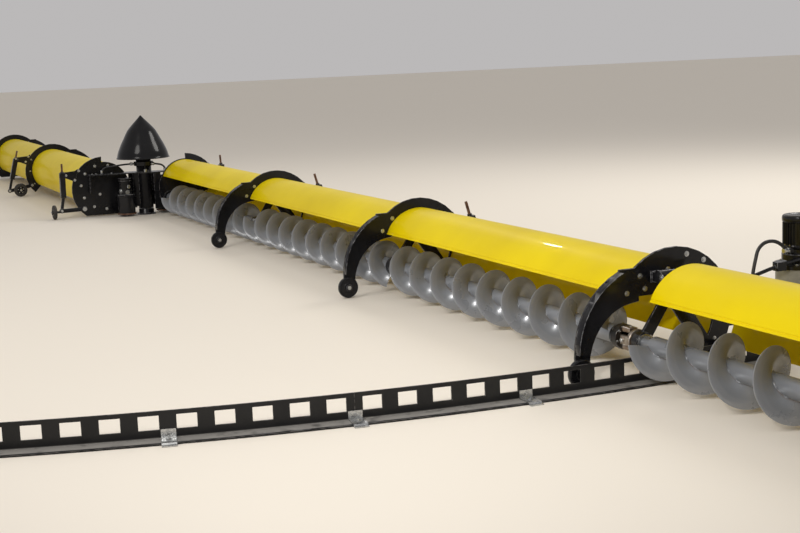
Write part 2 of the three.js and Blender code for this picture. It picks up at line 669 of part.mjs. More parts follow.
// Hub: the post over the pin, with the shelf and webs that tie the two end plates together
const reach = FIRST_PLATE - PLATE_HALF - GAP;
const shelf = pointShape([
  [-reach, -560],
  [-60, -560],
  [60, -90],
  [reach, 70],
  [reach, 560],
  [60, 560],
  [-60, 90],
  [-reach, -70],
]);
const hubBody = joined([
  rodZ(0, 0, POST_R, 66, POST_TOP, 28),
  slabZ(shelf, 430, 442),
  block(-reach, -40, -560, -548, 250, 432),
  block(40, reach, 548, 560, 250, 432),
  block(-reach, -20, -76, -64, 250, 432),
  block(20, reach, 64, 76, 250, 432),
  block(-reach, -reach + 12, -138, -64, 60, 432),
  block(reach - 12, reach, 64, 138, 60, 432),
  block(24, 36, -130, -60, 90, 432),
  block(-36, -24, 60, 130, 90, 432),
]);
const hubBore = rodZ(0, 0, (PIVOT_PIN_R + 0.5) / Math.cos(Math.PI / 24), 0, PIN_TOP + GAP, 24);
addPiece('hub_frame', cutFrom(hubBody, [hubBore]), 'black', 0.2);

// Dome: a spun shell with a rim, standing on the post
const outside = [[274, 0], [274, 18], [264, 20], [234, 112], [189, 202], [140, 292], [58, 382], [0, 440]];
const domeProfile = outside.map(([r, z]) => new THREE.Vector2(r, DOME_RIM_Z + z));
const inside = [[0, 430], [54, 376], [135, 287], [184, 197], [229, 108], [256, 0]];
inside.forEach(([r, z]) => domeProfile.push(new THREE.Vector2(r, DOME_RIM_Z + z)));
domeProfile.push(domeProfile[0].clone());
const domeShell = new THREE.LatheGeometry(domeProfile, 28).rotateX(Math.PI / 2);
const postBore = rodZ(0, 0, (POST_R + GAP) / Math.cos(Math.PI / 28), 0, POST_TOP + GAP, 28);
addPiece('dome', cutFrom(toSolid(domeShell), [postBore]), 'black', 0.5);

// Conduits under the dome: a collar round the post, and a lead down to the shelf on each side of it
const COLLAR_LOW = 505;
const SHELF_TOP = 442;
const hubLeads = [
  [[-40, -75, 525], [-60, -180, 522], [-80, -300, 510], [-92, -385, 497], [-95, -418, 465],
    [-95, -418, SHELF_TOP + GAP]],
  [[70, 40, 525], [98, 110, 520], [104, 172, 502], [101, 198, 468], [101, 198, SHELF_TOP + GAP]],
  [[88, -6, COLLAR_LOW + 5], [88, -6, 475], [88, -6, SHELF_TOP + GAP]],
];
const collarBody = joined([
  rodZ(0, 0, COLLAR_R, COLLAR_LOW, 548, 24),
  ...hubLeads.map((points) => hose(points, CONDUIT_R, 8, 9)),
]);
const collarBore = rodZ(0, 0, (POST_R + GAP) / Math.cos(Math.PI / 28), 400, 600, 28);
addPiece('hub_conduits', cutFrom(collarBody, [collarBore]), 'rubber', 0.1);

// Gear motors that turn the two augers: each stands past the post, in line with its own auger
const GEAR_INNER = -60;
for (const side of ['left', 'right']) {
  const tag = side === 'right' ? 'r' : 'l';
  const body = joined([
    rodZ(GEAR_INNER, 0, 88, 16, 225, 24),
    rodX(0, AXIS_Z - 20, 74, GEAR_INNER, reach, 24),
    rodZ(GEAR_INNER, 0, 62, 220, 372, 20),
    rodZ(GEAR_INNER, 0, 68, 366, 392, 20),
  ]);
  addPiece('gearbox_' + tag, onArm(body, side), 'black', 0.3);
}

export default group;
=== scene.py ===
import math
import random

import bmesh
import bpy
from mathutils import Matrix, Vector


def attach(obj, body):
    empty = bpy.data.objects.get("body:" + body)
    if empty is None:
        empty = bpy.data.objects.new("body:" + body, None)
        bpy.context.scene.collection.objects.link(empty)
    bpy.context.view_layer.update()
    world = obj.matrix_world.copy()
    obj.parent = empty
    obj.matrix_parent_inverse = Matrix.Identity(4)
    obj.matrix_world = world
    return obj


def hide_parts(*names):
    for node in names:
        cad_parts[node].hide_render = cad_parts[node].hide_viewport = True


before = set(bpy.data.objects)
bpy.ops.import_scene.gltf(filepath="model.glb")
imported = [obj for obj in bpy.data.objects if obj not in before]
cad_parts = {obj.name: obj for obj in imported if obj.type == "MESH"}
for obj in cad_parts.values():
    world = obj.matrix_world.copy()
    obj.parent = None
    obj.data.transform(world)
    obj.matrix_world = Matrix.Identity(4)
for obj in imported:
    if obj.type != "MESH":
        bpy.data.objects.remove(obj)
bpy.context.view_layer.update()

# The camera stands off the open side of the long arm, low above the bin floor, and looks along
# the arm towards the pivot. Its place, turn and lens come from the hoops, flights and track.
yaw, pitch, roll = -1.159233, 0.153279, -0.039744
camera_place = (14.4296, -3.4435, 1.5925)
focal_px, frame_px = 1407.04, 800
ahead = Vector((math.sin(yaw) * math.cos(pitch), math.cos(yaw) * math.cos(pitch), -math.sin(pitch)))
level = Vector((math.cos(yaw), -math.sin(yaw), 0))
upright = level.cross(ahead)
cam_right = level * math.cos(roll) + upright * math.sin(roll)
cam_up = upright * math.cos(roll) - level * math.sin(roll)
camera_data = bpy.data.cameras.new("sweep_camera")
camera_data.sensor_width = 36
camera_data.lens = 36 * focal_px / frame_px
camera_data.clip_end = 200
camera = bpy.data.objects.new("sweep_camera", camera_data)
bpy.context.collection.objects.link(camera)
camera.matrix_world = Matrix((
    (cam_right.x, cam_up.x, -ahead.x, camera_place[0]),
    (cam_right.y, cam_up.y, -ahead.y, camera_place[1]),
    (cam_right.z, cam_up.z, -ahead.z, camera_place[2]),
    (0, 0, 0, 1),
))
bpy.context.scene.camera = camera

# The enamel in the photograph is a full deep yellow, so colours are shown as they are painted.
bpy.context.scene.view_settings.view_transform = "Standard"

# The floor is a plain pale surface. The light is soft: one broad lamp over the open side and one
# behind, a small weak lamp at each end for the glints on hoods and flighting, and a low even sky.
floor_half = 70
floor_corners = [(floor_half * x, floor_half * y, 0) for x, y in ((-1, -1), (1, -1), (1, 1), (-1, 1))]
floor_mesh = bpy.data.meshes.new("floor")
floor_mesh.from_pydata(floor_corners, [], [(0, 1, 2, 3)])
floor = bpy.data.objects.new("floor", floor_mesh)
bpy.context.collection.objects.link(floor)
floor_paint = bpy.data.materials.new("pale_floor")
floor_paint.use_nodes = True
floor_shader = floor_paint.node_tree.nodes["Principled BSDF"]
floor_shader.inputs["Base Color"].default_value = (0.86, 0.8, 0.7, 1)
floor_shader.inputs["Roughness"].default_value = 0.85
floor_mesh.materials.append(floor_paint)

for lamp_name, place, aim, width, power, spread in (
    ("lamp_open_side", (8.0, -7.0, 8.5), (7.0, 0.2, 0.3), 5.0, 400, 180),
    ("lamp_far_end", (-3.3, 2.9, 6.7), (5.0, 0.3, 0.4), 0.3, 45, 180),
    ("lamp_behind", (3.5, 8.0, 7.0), (4.0, 0.3, 0.3), 4.0, 330, 180),
    ("lamp_near_end", (12.4, -3.4, 2.6), (7.5, 0.2, 0.1), 0.26, 13, 64),
):
    lamp_data = bpy.data.lights.new(lamp_name, "AREA")
    lamp_data.shape = "DISK"
    lamp_data.size = width
    lamp_data.energy = power
    lamp_data.spread = math.radians(spread)
    lamp_data.color = (1.0, 0.97, 0.93)
    lamp = bpy.data.objects.new(lamp_name, lamp_data)
    bpy.context.collection.objects.link(lamp)
    lamp.location = place
    lamp.rotation_euler = (Vector(aim) - Vector(place)).to_track_quat("-Z", "Y").to_euler()

sky = bpy.data.worlds.new("bin_light")
sky.use_nodes = True
sky_light = sky.node_tree.nodes["Background"]
sky_light.inputs["Color"].default_value = (0.8, 0.78, 0.78, 1)
sky_light.inputs["Strength"].default_value = 0.62
bpy.context.scene.world = sky

# Hoods: rolled sheet steel covers, sprayed bright yellow enamel, bolted between the hoops. The
# front edge has a small return lip with a pressed groove above it, and dust lies on their tops.
arm_offset = 0.218
axis_z = 0.172
first_plate = 0.145
bay = 2.913
hood_centre = (0.175, 0.298)
hood_radius = 0.252
hood_sheet = 0.004
hood_lip = 0.012
hood_lip_deg = 158.0
hood_back_deg = -39.5
hood_gap = 0.0075
outer_hood_start = 9.035
groove_floor = hood_radius - 0.0026


def node_in(tree, kind, **settings):
    node = tree.nodes.new(kind)
    for key, value in settings.items():
        setattr(node, key, value)
    return node


def finish_material(name, colour, roughness, metallic=0.0, specular=0.5, coat=0.0, coat_rough=0.03):
    """A plain finish. Colour and roughness are what shows until a pattern is laid on them."""
    material = bpy.data.materials.new(name)
    material.use_nodes = True
    shader = material.node_tree.nodes["Principled BSDF"]
    shader.inputs["Base Color"].default_value = (*colour, 1)
    shader.inputs["Roughness"].default_value = roughness
    shader.inputs["Metallic"].default_value = metallic
    shader.inputs["Specular IOR Level"].default_value = specular
    shader.inputs["Coat Weight"].default_value = coat
    shader.inputs["Coat Roughness"].default_value = coat_rough
    return material, material.node_tree, shader


def noise_over(tree, scale, detail, roughness=0.5):
    """Noise laid in the piece's own coordinates."""
    spots = tree.nodes.new("ShaderNodeTexCoord")
    noise = tree.nodes.new("ShaderNodeTexNoise")
    noise.inputs["Scale"].default_value = scale
    noise.inputs["Detail"].default_value = detail
    noise.inputs["Roughness"].default_value = roughness
    tree.links.new(spots.outputs["Object"], noise.inputs["Vector"])
    return noise


def ranged(tree, measure, low, high, to_low=0.0, to_high=1.0):
    """Stretches a measure from one range to another and holds it there."""
    span = node_in(tree, "ShaderNodeMapRange", clamp=True)
    for label, value in (("From Min", low), ("From Max", high), ("To Min", to_low), ("To Max", to_high)):
        span.inputs[label].default_value = value
    tree.links.new(measure, span.inputs["Value"])
    return span.outputs[0]


def times(tree, first, second, **settings):
    product = node_in(tree, "ShaderNodeMath", operation="MULTIPLY", **settings)
    tree.links.new(first, product.inputs[0])
    tree.links.new(second, product.inputs[1])
    return product.outputs[0]


def tones_along(tree, measure, stops):
    """Colours along a measure. The stops are rows of position and colour, from low to high."""
    ramp = tree.nodes.new("ShaderNodeValToRGB")
    steps = ramp.color_ramp.elements
    for step, (position, colour) in ((steps[0], stops[0]), (steps[1], stops[-1])):
        step.position = position
        step.color = (*colour, 1)
    for position, colour in stops[1:-1]:
        steps.new(position).color = (*colour, 1)
    tree.links.new(measure, ramp.inputs["Fac"])
    return ramp.outputs["Color"]


def laid_over(tree, share, under, over):
    """One plain colour over another finish, as far as the share says."""
    mix = node_in(tree, "ShaderNodeMix", data_type="RGBA")
    tree.links.new(share, mix.inputs["Factor"])
    tree.links.new(under, mix.inputs["A"])
    mix.inputs["B"].default_value = (*over, 1)
    return mix.outputs["Result"]


# Dust mask: where a surface faces up, broken by drifts and by fine speckle
dust_mask = bpy.data.node_groups.new("grain_dust", "ShaderNodeTree")
for label, way in (("Amount", "INPUT"), ("Drift Size", "INPUT"), ("Mask", "OUTPUT")):
    dust_mask.interface.new_socket(label, in_out=way, socket_type="NodeSocketFloat")
dust_in = dust_mask.nodes.new("NodeGroupInput")
dust_out = dust_mask.nodes.new("NodeGroupOutput")
dust_shape = dust_mask.nodes.new("ShaderNodeNewGeometry")
dust_up = dust_mask.nodes.new("ShaderNodeSeparateXYZ")
dust_mask.links.new(dust_shape.outputs["Normal"], dust_up.inputs[0])
dust_slope = ranged(dust_mask, dust_up.outputs["Z"], 0.35, 0.95)
dust_drift = noise_over(dust_mask, 5, 6, 0.62)
dust_mask.links.new(dust_in.outputs["Drift Size"], dust_drift.inputs["Scale"])
dust_speck = noise_over(dust_mask, 95, 3)
dust_mix = node_in(dust_mask, "ShaderNodeMath", operation="MULTIPLY_ADD")
dust_mix.inputs[1].default_value = 0.35
dust_mask.links.new(dust_speck.outputs["Fac"], dust_mix.inputs[0])
dust_mask.links.new(dust_drift.outputs["Fac"], dust_mix.inputs[2])
dust_gate = ranged(dust_mask, dust_mix.outputs[0], 0.66, 0.86)
dust_lying = times(dust_mask, dust_slope, dust_gate)
dust_scaled = times(dust_mask, dust_lying, dust_in.outputs["Amount"], use_clamp=True)
dust_mask.links.new(dust_scaled, dust_out.inputs["Mask"])


def dusted(tree, shader, paint, dust, amount, drift, rough_clean, rough_dust):
    """Lays grain dust over a paint colour and dulls the gloss under it."""
    mask = tree.nodes.new("ShaderNodeGroup")
    mask.node_tree = dust_mask
    mask.inputs["Amount"].default_value = amount
    mask.inputs["Drift Size"].default_value = drift
    colour = laid_over(tree, mask.outputs["Mask"], paint, dust)
    tree.links.new(colour, shader.inputs["Base Color"])
    rough = ranged(tree, mask.outputs["Mask"], 0, 1, rough_clean, rough_dust)
    tree.links.new(rough, shader.inputs["Roughness"])


yellow_enamel, tree, shader = finish_material(
    "yellow_enamel", (0.86, 0.62, 0.0), 0.22, specular=0.08, coat=0.12, coat_rough=0.03)
yellow_drift = noise_over(tree, 1.7, 5)
yellow = tones_along(tree, yellow_drift.outputs["Fac"], ((0.3, (0.74, 0.56, 0.0)), (0.7, (0.86, 0.67, 0.0))))
dusted(tree, shader, yellow, (0.8, 0.62, 0.1), 0.12, 1.6, 0.42, 0.6)


def as_object(name, verts, faces, material, smooth_deg=35.0):
    mesh = bpy.data.meshes.new(name)
    mesh.from_pydata([tuple(v) for v in verts], [], faces)
    mesh.validate()
    mesh.materials.append(material)
    mesh.shade_smooth()
    mesh.set_sharp_from_angle(angle=math.radians(smooth_deg))
    thing = bpy.data.objects.new(name, mesh)
    bpy.context.collection.objects.link(thing)
    return thing


def on_arm(side, x, y, z):
    """A point drawn along +X, Y behind the auger, is put on its own arm."""
    if side == "r":
        return (x, y + arm_offset, z)
    return (-x, -y - arm_offset, z)


def on_hood(radius, deg):
    a = math.radians(deg)
    return (hood_centre[0] + radius * math.cos(a), hood_centre[1] + radius * math.sin(a))


def hood_outline():
    steps = 64
    outer, inner = [], []
    for i in range(steps + 1):
        deg = hood_back_deg + (hood_lip_deg - hood_back_deg) * i / steps
        outer.append(on_hood(hood_radius, deg))
        inner.append(on_hood(hood_radius - hood_sheet, deg))
    # a pressed groove runs along the sheet just above its folded front lip
    groove = ((hood_radius, 154.0), (groove_floor, 154.2), (groove_floor, 155.3), (hood_radius, 155.5))
    outer[-2:-1] = [on_hood(radius, deg) for radius, deg in groove]
    a = math.radians(hood_lip_deg)
    lip_end = (inner[-1][0] - hood_lip * math.cos(a), inner[-1][1] - hood_lip * math.sin(a))
    lip_back = (lip_end[0] + hood_sheet * math.sin(a), lip_end[1] - hood_sheet * math.cos(a))
    corner = (inner[-1][0] + hood_sheet * math.sin(a), inner[-1][1] - hood_sheet * math.cos(a))
    return outer + [lip_end, lip_back, corner] + inner[-2::-1]


def prism(outline, x0, x1, place):
    """A closed outline in Y and Z drawn out between two X positions, capped at both ends."""
    count = len(outline)
    verts = [place(x0, y, z) for y, z in outline] + [place(x1, y, z) for y, z in outline]
    edges = zip(outline, outline[1:] + outline[:1])
    forward = sum(y0 * z1 - y1 * z0 for (y0, z0), (y1, z1) in edges) > 0
    faces = []
    for i in range(count):
        j = (i + 1) % count
        faces.append((i, j, count + j, count + i) if forward else (j, i, count + i, count + j))
    ring = list(range(count))
    faces.append(tuple(reversed(ring)) if forward else tuple(ring))
    faces.append(tuple(count + k for k in ring) if forward else tuple(count + k for k in reversed(ring)))
    return verts, faces


bays = (("r", 1), ("r", 2), ("r", 3), ("r", 4), ("l", 1), ("l", 2))
for side, number in bays:
    near = outer_hood_start if number == 4 else first_plate + (number - 1) * bay + hood_gap
    far = first_plate + number * bay - hood_gap
    verts, faces = prism(hood_outline(), near, far, lambda x, y, z: on_arm(side, x, y, z))
    cover = as_object(f"hood_sheet_{side}{number}", verts, faces, yellow_enamel)
    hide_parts(f"hood_{side}{number}")
    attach(cover, "sweep")

# Flighting: helicoid steel strip, rolled and stitch welded round the auger tube, grey with soft
# bright wear at its rim where the grain scours it, and a little rust where it meets the tube.
flight_radius = 0.1525
flight_pitch = 0.305
flight_sheet = 0.007
flight_root = 0.001
tube_radius = 0.0445
steps_a_turn = 56

flight_steel, tree, shader = finish_material(
    "flight_steel", (0.11, 0.118, 0.13), 0.34, 0.3, coat=0.3, coat_rough=0.14)
reach = node_in(tree, "ShaderNodeAttribute", attribute_name="reach")
scour = noise_over(tree, 6, 7)
wear = node_in(tree, "ShaderNodeMath", operation="MULTIPLY_ADD")
wear.inputs[1].default_value = 0.35
tree.links.new(scour.outputs["Fac"], wear.inputs[0])
tree.links.new(reach.outputs["Fac"], wear.inputs[2])
bands = tones_along(tree, wear.outputs[0], (
    (0.12, (0.15, 0.11, 0.085)), (0.26, (0.22, 0.232, 0.25)),
    (0.75, (0.24, 0.253, 0.272)), (1.14 / 1.35, (0.275, 0.286, 0.305))))
tree.links.new(bands, shader.inputs["Base Color"])
gloss = ranged(tree, scour.outputs["Fac"], 0, 1, 0.23, 0.34)
tree.links.new(gloss, shader.inputs["Roughness"])


def helix_turn(x, crest):
    return math.pi / 2 + 2 * math.pi * (x - crest) / flight_pitch


def flight_strip(side, x0, x1, crest):
    """A length of helicoid, with how far out each vert lies, from 0 at the tube to 1 at the rim."""
    steps = int((x1 - x0) / flight_pitch * steps_a_turn)
    verts, faces, reaches = [], [], []
    inner = tube_radius - flight_root
    section = []
    for t in (0.0, 0.25, 0.5, 0.75, 0.97, 1.0):
        thick = flight_sheet * (0.5 if t < 1 else 0.28)
        section.append((inner + t * (flight_radius - inner), thick, t))
    loop = section + [(r, -h, t) for r, h, t in reversed(section)]
    count = len(loop)
    for i in range(steps + 1):
        x = x0 + (x1 - x0) * i / steps
        turn = helix_turn(x, crest)
        for r, h, t in loop:
            verts.append(on_arm(side, x + h, r * math.cos(turn), axis_z + r * math.sin(turn)))
            reaches.append(t)
    for i in range(steps):
        for k in range(count):
            n = (k + 1) % count
            a, b, c, d = i * count + k, i * count + n, (i + 1) * count + n, (i + 1) * count + k
            faces.append((a, d, c, b))
    faces.append(tuple(range(count)))
    faces.append(tuple(steps * count + k for k in reversed(range(count))))
    return verts, faces, reaches


# start and stop of each length along its arm, and a place where its rim stands on top
flight_runs = {
    ("r", 1): (0.385, 3.016, 0.62),
    ("r", 2): (3.1, 5.929, 3.355),
    ("r", 3): (6.013, 8.64, 6.147),
    ("r", 4): (8.994, 11.755, 9.23),
    ("l", 1): (0.385, 3.016, 0.62),
    ("l", 2): (3.1, 5.929, 3.355),
}
for (side, number), (start, stop, crest) in flight_runs.items():
    verts, faces, reaches = flight_strip(side, start, stop, crest)
    strip = as_object(f"flighting_{side}{number}", verts, faces, flight_steel, 50)
    layer = strip.data.attributes.new("reach", "FLOAT", "POINT")
    layer.data.foreach_set("value", reaches)
    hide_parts(f"flight_{side}{number}")
    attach(strip, "auger_right" if side == "r" else "auger_left")

# Auger tubes: heavy steel tube turned down to a journal where it passes a bearing. The flighting is
# stitch welded to it all along, and the same grey coat covers both, worn bright on the journals.
def turned(name, outline, place, material, sides=40, loop=False, smooth_deg=32.0):
    """Turns an outline of (along, radius) points. place(along, a, b) puts a point in the frame."""
    made = bmesh.new()
    rings = []
    for u, r in outline:
        angles = [2 * math.pi * k / sides for k in range(sides)]
        rings.append([made.verts.new(place(u, r * math.cos(a), r * math.sin(a))) for a in angles])
    pairs = list(zip(rings, rings[1:]))
    if loop:
        pairs.append((rings[-1], rings[0]))
    else:
        made.faces.new(rings[0])
        made.faces.new(rings[-1])
    for low, high in pairs:
        for k in range(sides):
            n = (k + 1) % sides
            made.faces.new((low[k], low[n], high[n], high[k]))
    bmesh.ops.remove_doubles(made, verts=made.verts, dist=1e-6)
    bmesh.ops.recalc_face_normals(made, faces=made.faces)
    return from_bmesh(name, made, material, smooth_deg)


def from_bmesh(name, made, material, smooth_deg):
    mesh = bpy.data.meshes.new(name)
    made.to_mesh(mesh)
    made.free()
    mesh.materials.append(material)
    mesh.shade_smooth()
    mesh.set_sharp_from_angle(angle=math.radians(smooth_deg))
    thing = bpy.data.objects.new(name, mesh)
    bpy.context.collection.objects.link(thing)
    return thing


def set_reach(thing, value):
    layer = thing.data.attributes.new("reach", "FLOAT", "POINT")
    layer.data.foreach_set("value", [value] * len(thing.data.vertices))


def along_arm(side, y, z):
    return lambda u, a, b: on_arm(side, u, y + a, z + b)


journal_radius = 0.03
near_journal = (
    (0.138, 0), (0.138, 0.028), (0.14, journal_radius), (0.176, journal_radius),
    (0.18, 0.041), (0.184, tube_radius))
for name, side, body, outline in (
    ("auger_tube_l", "l", "auger_left", near_journal + (
        (5.932, tube_radius), (5.936, 0.041), (5.94, journal_radius), (5.976, journal_radius),
        (5.978, 0.028), (5.978, 0))),
    ("auger_tube_r_inner", "r", "auger_right", near_journal + (
        (8.661, tube_radius), (8.665, 0.042), (8.665, 0))),
    ("auger_tube_r_outer", "r", "auger_right", (
        (8.852, 0), (8.852, journal_radius), (8.984, journal_radius), (8.986, 0.041), (8.99, tube_radius),
        (11.758, tube_radius), (11.762, 0.041), (11.766, journal_radius), (11.802, journal_radius),
        (11.804, 0.028), (11.804, 0))),
):
    tube = turned(name, outline, along_arm(side, 0, axis_z), flight_steel)
    set_reach(tube, 0.35)
    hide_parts(name.replace("auger_", ""))
    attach(tube, body)

# Stitch welds: short fillet beads at the root of the flighting, laid by hand six to a turn. Each
# is a small oval that follows the helix and differs a little in size from the next.
stitches_a_turn = 6
bead_radius = tube_radius + 0.001
bead_shift = 0.005


def layout_group(name, sizes, axis, size_type="NodeSocketFloat"):
    """Sets one shape on every marked point, with the named axis turned to where the point faces."""
    group = bpy.data.node_groups.new(name, "GeometryNodeTree")
    group.is_modifier = True
    group.interface.new_socket("Geometry", in_out="INPUT", socket_type="NodeSocketGeometry")
    for label in sizes:
        group.interface.new_socket(label, in_out="INPUT", socket_type=size_type)
    group.interface.new_socket("Finish", in_out="INPUT", socket_type="NodeSocketMaterial")
    group.interface.new_socket("Geometry", in_out="OUTPUT", socket_type="NodeSocketGeometry")
    given = group.nodes.new("NodeGroupInput")
    result = group.nodes.new("NodeGroupOutput")
    facing = node_in(group, "GeometryNodeInputNamedAttribute", data_type="FLOAT_VECTOR")
    facing.inputs["Name"].default_value = "facing"
    turn = node_in(group, "FunctionNodeAlignRotationToVector", axis=axis)
    group.links.new(facing.outputs["Attribute"], turn.inputs["Vector"])
    lay = group.nodes.new("GeometryNodeInstanceOnPoints")
    group.links.new(given.outputs["Geometry"], lay.inputs["Points"])
    group.links.new(turn.outputs["Rotation"], lay.inputs["Rotation"])
    real = group.nodes.new("GeometryNodeRealizeInstances")
    group.links.new(lay.outputs["Instances"], real.inputs["Geometry"])
    paint = group.nodes.new("GeometryNodeSetMaterial")
    group.links.new(real.outputs["Geometry"], paint.inputs["Geometry"])
    group.links.new(given.outputs["Finish"], paint.inputs["Material"])
    group.links.new(paint.outputs["Geometry"], result.inputs["Geometry"])
    return group, given, turn, lay


def random_between(group, low, high, seed):
    draw = node_in(group, "FunctionNodeRandomValue", data_type="FLOAT")
    draw.inputs[2].default_value = low
    draw.inputs[3].default_value = high
    draw.inputs["Seed"].default_value = seed
    return draw.outputs[1]


stitch_set, stitch_in, _, stitch_lay = layout_group("stitch_set", ("Bead Length", "Bead Width"), "Z")
stitch_bead = stitch_set.nodes.new("GeometryNodeMeshUVSphere")
for label, value in (("Segments", 8), ("Rings", 5), ("Radius", 0.5)):
    stitch_bead.inputs[label].default_value = value
stitch_size = stitch_set.nodes.new("ShaderNodeCombineXYZ")
for axis, label in (("X", "Bead Width"), ("Y", "Bead Width"), ("Z", "Bead Length")):
    stitch_set.links.new(stitch_in.outputs[label], stitch_size.inputs[axis])
stitch_shape = stitch_set.nodes.new("GeometryNodeTransform")
stitch_set.links.new(stitch_bead.outputs["Mesh"], stitch_shape.inputs["Geometry"])
stitch_set.links.new(stitch_size.outputs[0], stitch_shape.inputs["Scale"])
stitch_set.links.new(stitch_shape.outputs["Geometry"], stitch_lay.inputs["Instance"])
stitch_set.links.new(random_between(stitch_set, 0.75, 1.2, 5), stitch_lay.inputs["Scale"])


def laid_out(name, places, group, values):
    """Runs a geometry node group on marked points and keeps its result as a plain mesh."""
    mesh = bpy.data.meshes.new(name + "_points")
    mesh.from_pydata([place for place, _, _ in places], [], [])
    facing = mesh.attributes.new("facing", "FLOAT_VECTOR", "POINT")
    facing.data.foreach_set("vector", [part for _, direction, _ in places for part in direction])
    size = mesh.attributes.new("size", "FLOAT", "POINT")
    size.data.foreach_set("value", [scale for _, _, scale in places])
    thing = bpy.data.objects.new(name, mesh)
    bpy.context.collection.objects.link(thing)
    modifier = thing.modifiers.new("layout", "NODES")
    modifier.node_group = group
    for socket in group.interface.items_tree:
        if socket.in_out == "INPUT" and socket.name in values:
            modifier[socket.identifier] = values[socket.name]
    depsgraph = bpy.context.evaluated_depsgraph_get()
    plain = bpy.data.meshes.new_from_object(thing.evaluated_get(depsgraph))
    plain.name = name
    thing.modifiers.clear()
    thing.data = plain
    return thing


for side, body in (("r", "auger_right"), ("l", "auger_left")):
    places = []
    for (arm_side, number), (start, stop, crest) in flight_runs.items():
        if arm_side != side:
            continue
        for step in range(1, int((stop - start) / flight_pitch * stitches_a_turn)):
            x = start + step * flight_pitch / stitches_a_turn
            turn = helix_turn(x, crest)
            out_y, out_z = bead_radius * math.cos(turn), bead_radius * math.sin(turn)
            rise = flight_pitch / (2 * math.pi)
            place = on_arm(side, x + bead_shift, out_y, axis_z + out_z)
            tip = on_arm(side, x + bead_shift + rise, out_y - out_z, axis_z + out_z + out_y)
            places.append((place, tuple(Vector(tip) - Vector(place)), 1.0))
    bead_sizes = {"Bead Length": 0.034, "Bead Width": 0.009, "Finish": flight_steel}
    beads = laid_out(f"stitch_welds_{side}", places, stitch_set, bead_sizes)
    set_reach(beads, 0.12)
    beads.data.shade_smooth()
    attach(beads, body)

# Black steelwork: hoops, end plates and front arms are cut from plate, welded and sprayed gloss
# black. The enamel is thin and rubbed grey on the corners, and dust lies where it faces up.
paint_film = bpy.data.node_groups.new("paint_film", "ShaderNodeTree")
for label, way in (("Tone Scale", "INPUT"), ("Tone", "OUTPUT"), ("Peel", "OUTPUT"), ("Rubbed", "OUTPUT")):
    paint_film.interface.new_socket(label, in_out=way, socket_type="NodeSocketFloat")
film_in = paint_film.nodes.new("NodeGroupInput")
film_out = paint_film.nodes.new("NodeGroupOutput")
film_tone = noise_over(paint_film, 5, 6, 0.6)
paint_film.links.new(film_in.outputs["Tone Scale"], film_tone.inputs["Scale"])
film_peel = noise_over(paint_film, 160, 2)
film_chip = noise_over(paint_film, 42, 4)
film_edge = node_in(paint_film, "ShaderNodeAttribute", attribute_name="edge")
film_gate = ranged(paint_film, film_chip.outputs["Fac"], 0.4, 0.62)
film_rubbed = times(paint_film, film_edge.outputs["Fac"], film_gate)
paint_film.links.new(film_tone.outputs["Fac"], film_out.inputs["Tone"])
paint_film.links.new(film_peel.outputs["Fac"], film_out.inputs["Peel"])
paint_film.links.new(film_rubbed, film_out.inputs["Rubbed"])


def bumped(tree, shader, height, strength, distance):
    bump = tree.nodes.new("ShaderNodeBump")
    bump.inputs["Strength"].default_value = strength
    bump.inputs["Distance"].default_value = distance
    tree.links.new(height, bump.inputs["Height"])
    tree.links.new(bump.outputs["Normal"], shader.inputs["Normal"])


def filmed(tree, shader, dark, light, rubbed, tone_scale, peel):
    """Two paint tones, rubbed corners and a fine orange peel. Returns the colour to lay dust on."""
    film = tree.nodes.new("ShaderNodeGroup")
    film.node_tree = paint_film
    film.inputs["Tone Scale"].default_value = tone_scale
    tones = tones_along(tree, film.outputs["Tone"], ((0.35, dark), (0.68, light)))
    bumped(tree, shader, film.outputs["Peel"], peel, 0.0006)
    return laid_over(tree, film.outputs["Rubbed"], tones, rubbed)


black_enamel, tree, shader = finish_material(
    "black_enamel", (0.01, 0.01, 0.012), 0.2, specular=0.22, coat=0.08, coat_rough=0.08)
coat = filmed(tree, shader, (0.006, 0.006, 0.007), (0.014, 0.014, 0.016), (0.22, 0.22, 0.23), 5.0, 0.12)
dusted(tree, shader, coat, (0.3, 0.27, 0.22), 0.22, 7.0, 0.2, 0.7)


def chamfered(made, edge):
    """Cuts a narrow chamfer on every sharp corner and marks it, so that the paint wears there."""
    mark = made.faces.layers.float.new("edge")
    corners = [e for e in made.edges if len(e.link_faces) == 2 and e.calc_face_angle(0) > math.radians(48)]
    cut = bmesh.ops.bevel(
        made, geom=corners, offset=edge, offset_type="OFFSET", segments=1, affect="EDGES",
        clamp_overlap=False)
    for face in cut["faces"]:
        face[mark] = 1


def edged_copy(node, name, material, edge=0.0016):
    """A new mesh on the shape of a CAD node, with its corners chamfered."""
    made = bmesh.new()
    made.from_mesh(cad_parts[node].data)
    bmesh.ops.remove_doubles(made, verts=made.verts, dist=0.00002)
    bmesh.ops.dissolve_limit(made, angle_limit=math.radians(0.6), verts=made.verts, edges=made.edges)
    chamfered(made, edge)
    thing = from_bmesh(name, made, material, 36)
    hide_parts(node)
    return thing


plate_half = 0.007
hoop_plates = (("r", 1), ("r", 2), ("r", 3), ("l", 1))
outer_plates = (("r", 4), ("l", 2))
for side, number in hoop_plates + outer_plates + (("r", 0), ("l", 0)):
    kind = "hoop" if (side, number) in hoop_plates else "end_plate"
    plate = edged_copy(f"{kind}_{side}{number}", f"{kind}_steel_{side}{number}", black_enamel)
    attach(plate, "sweep")

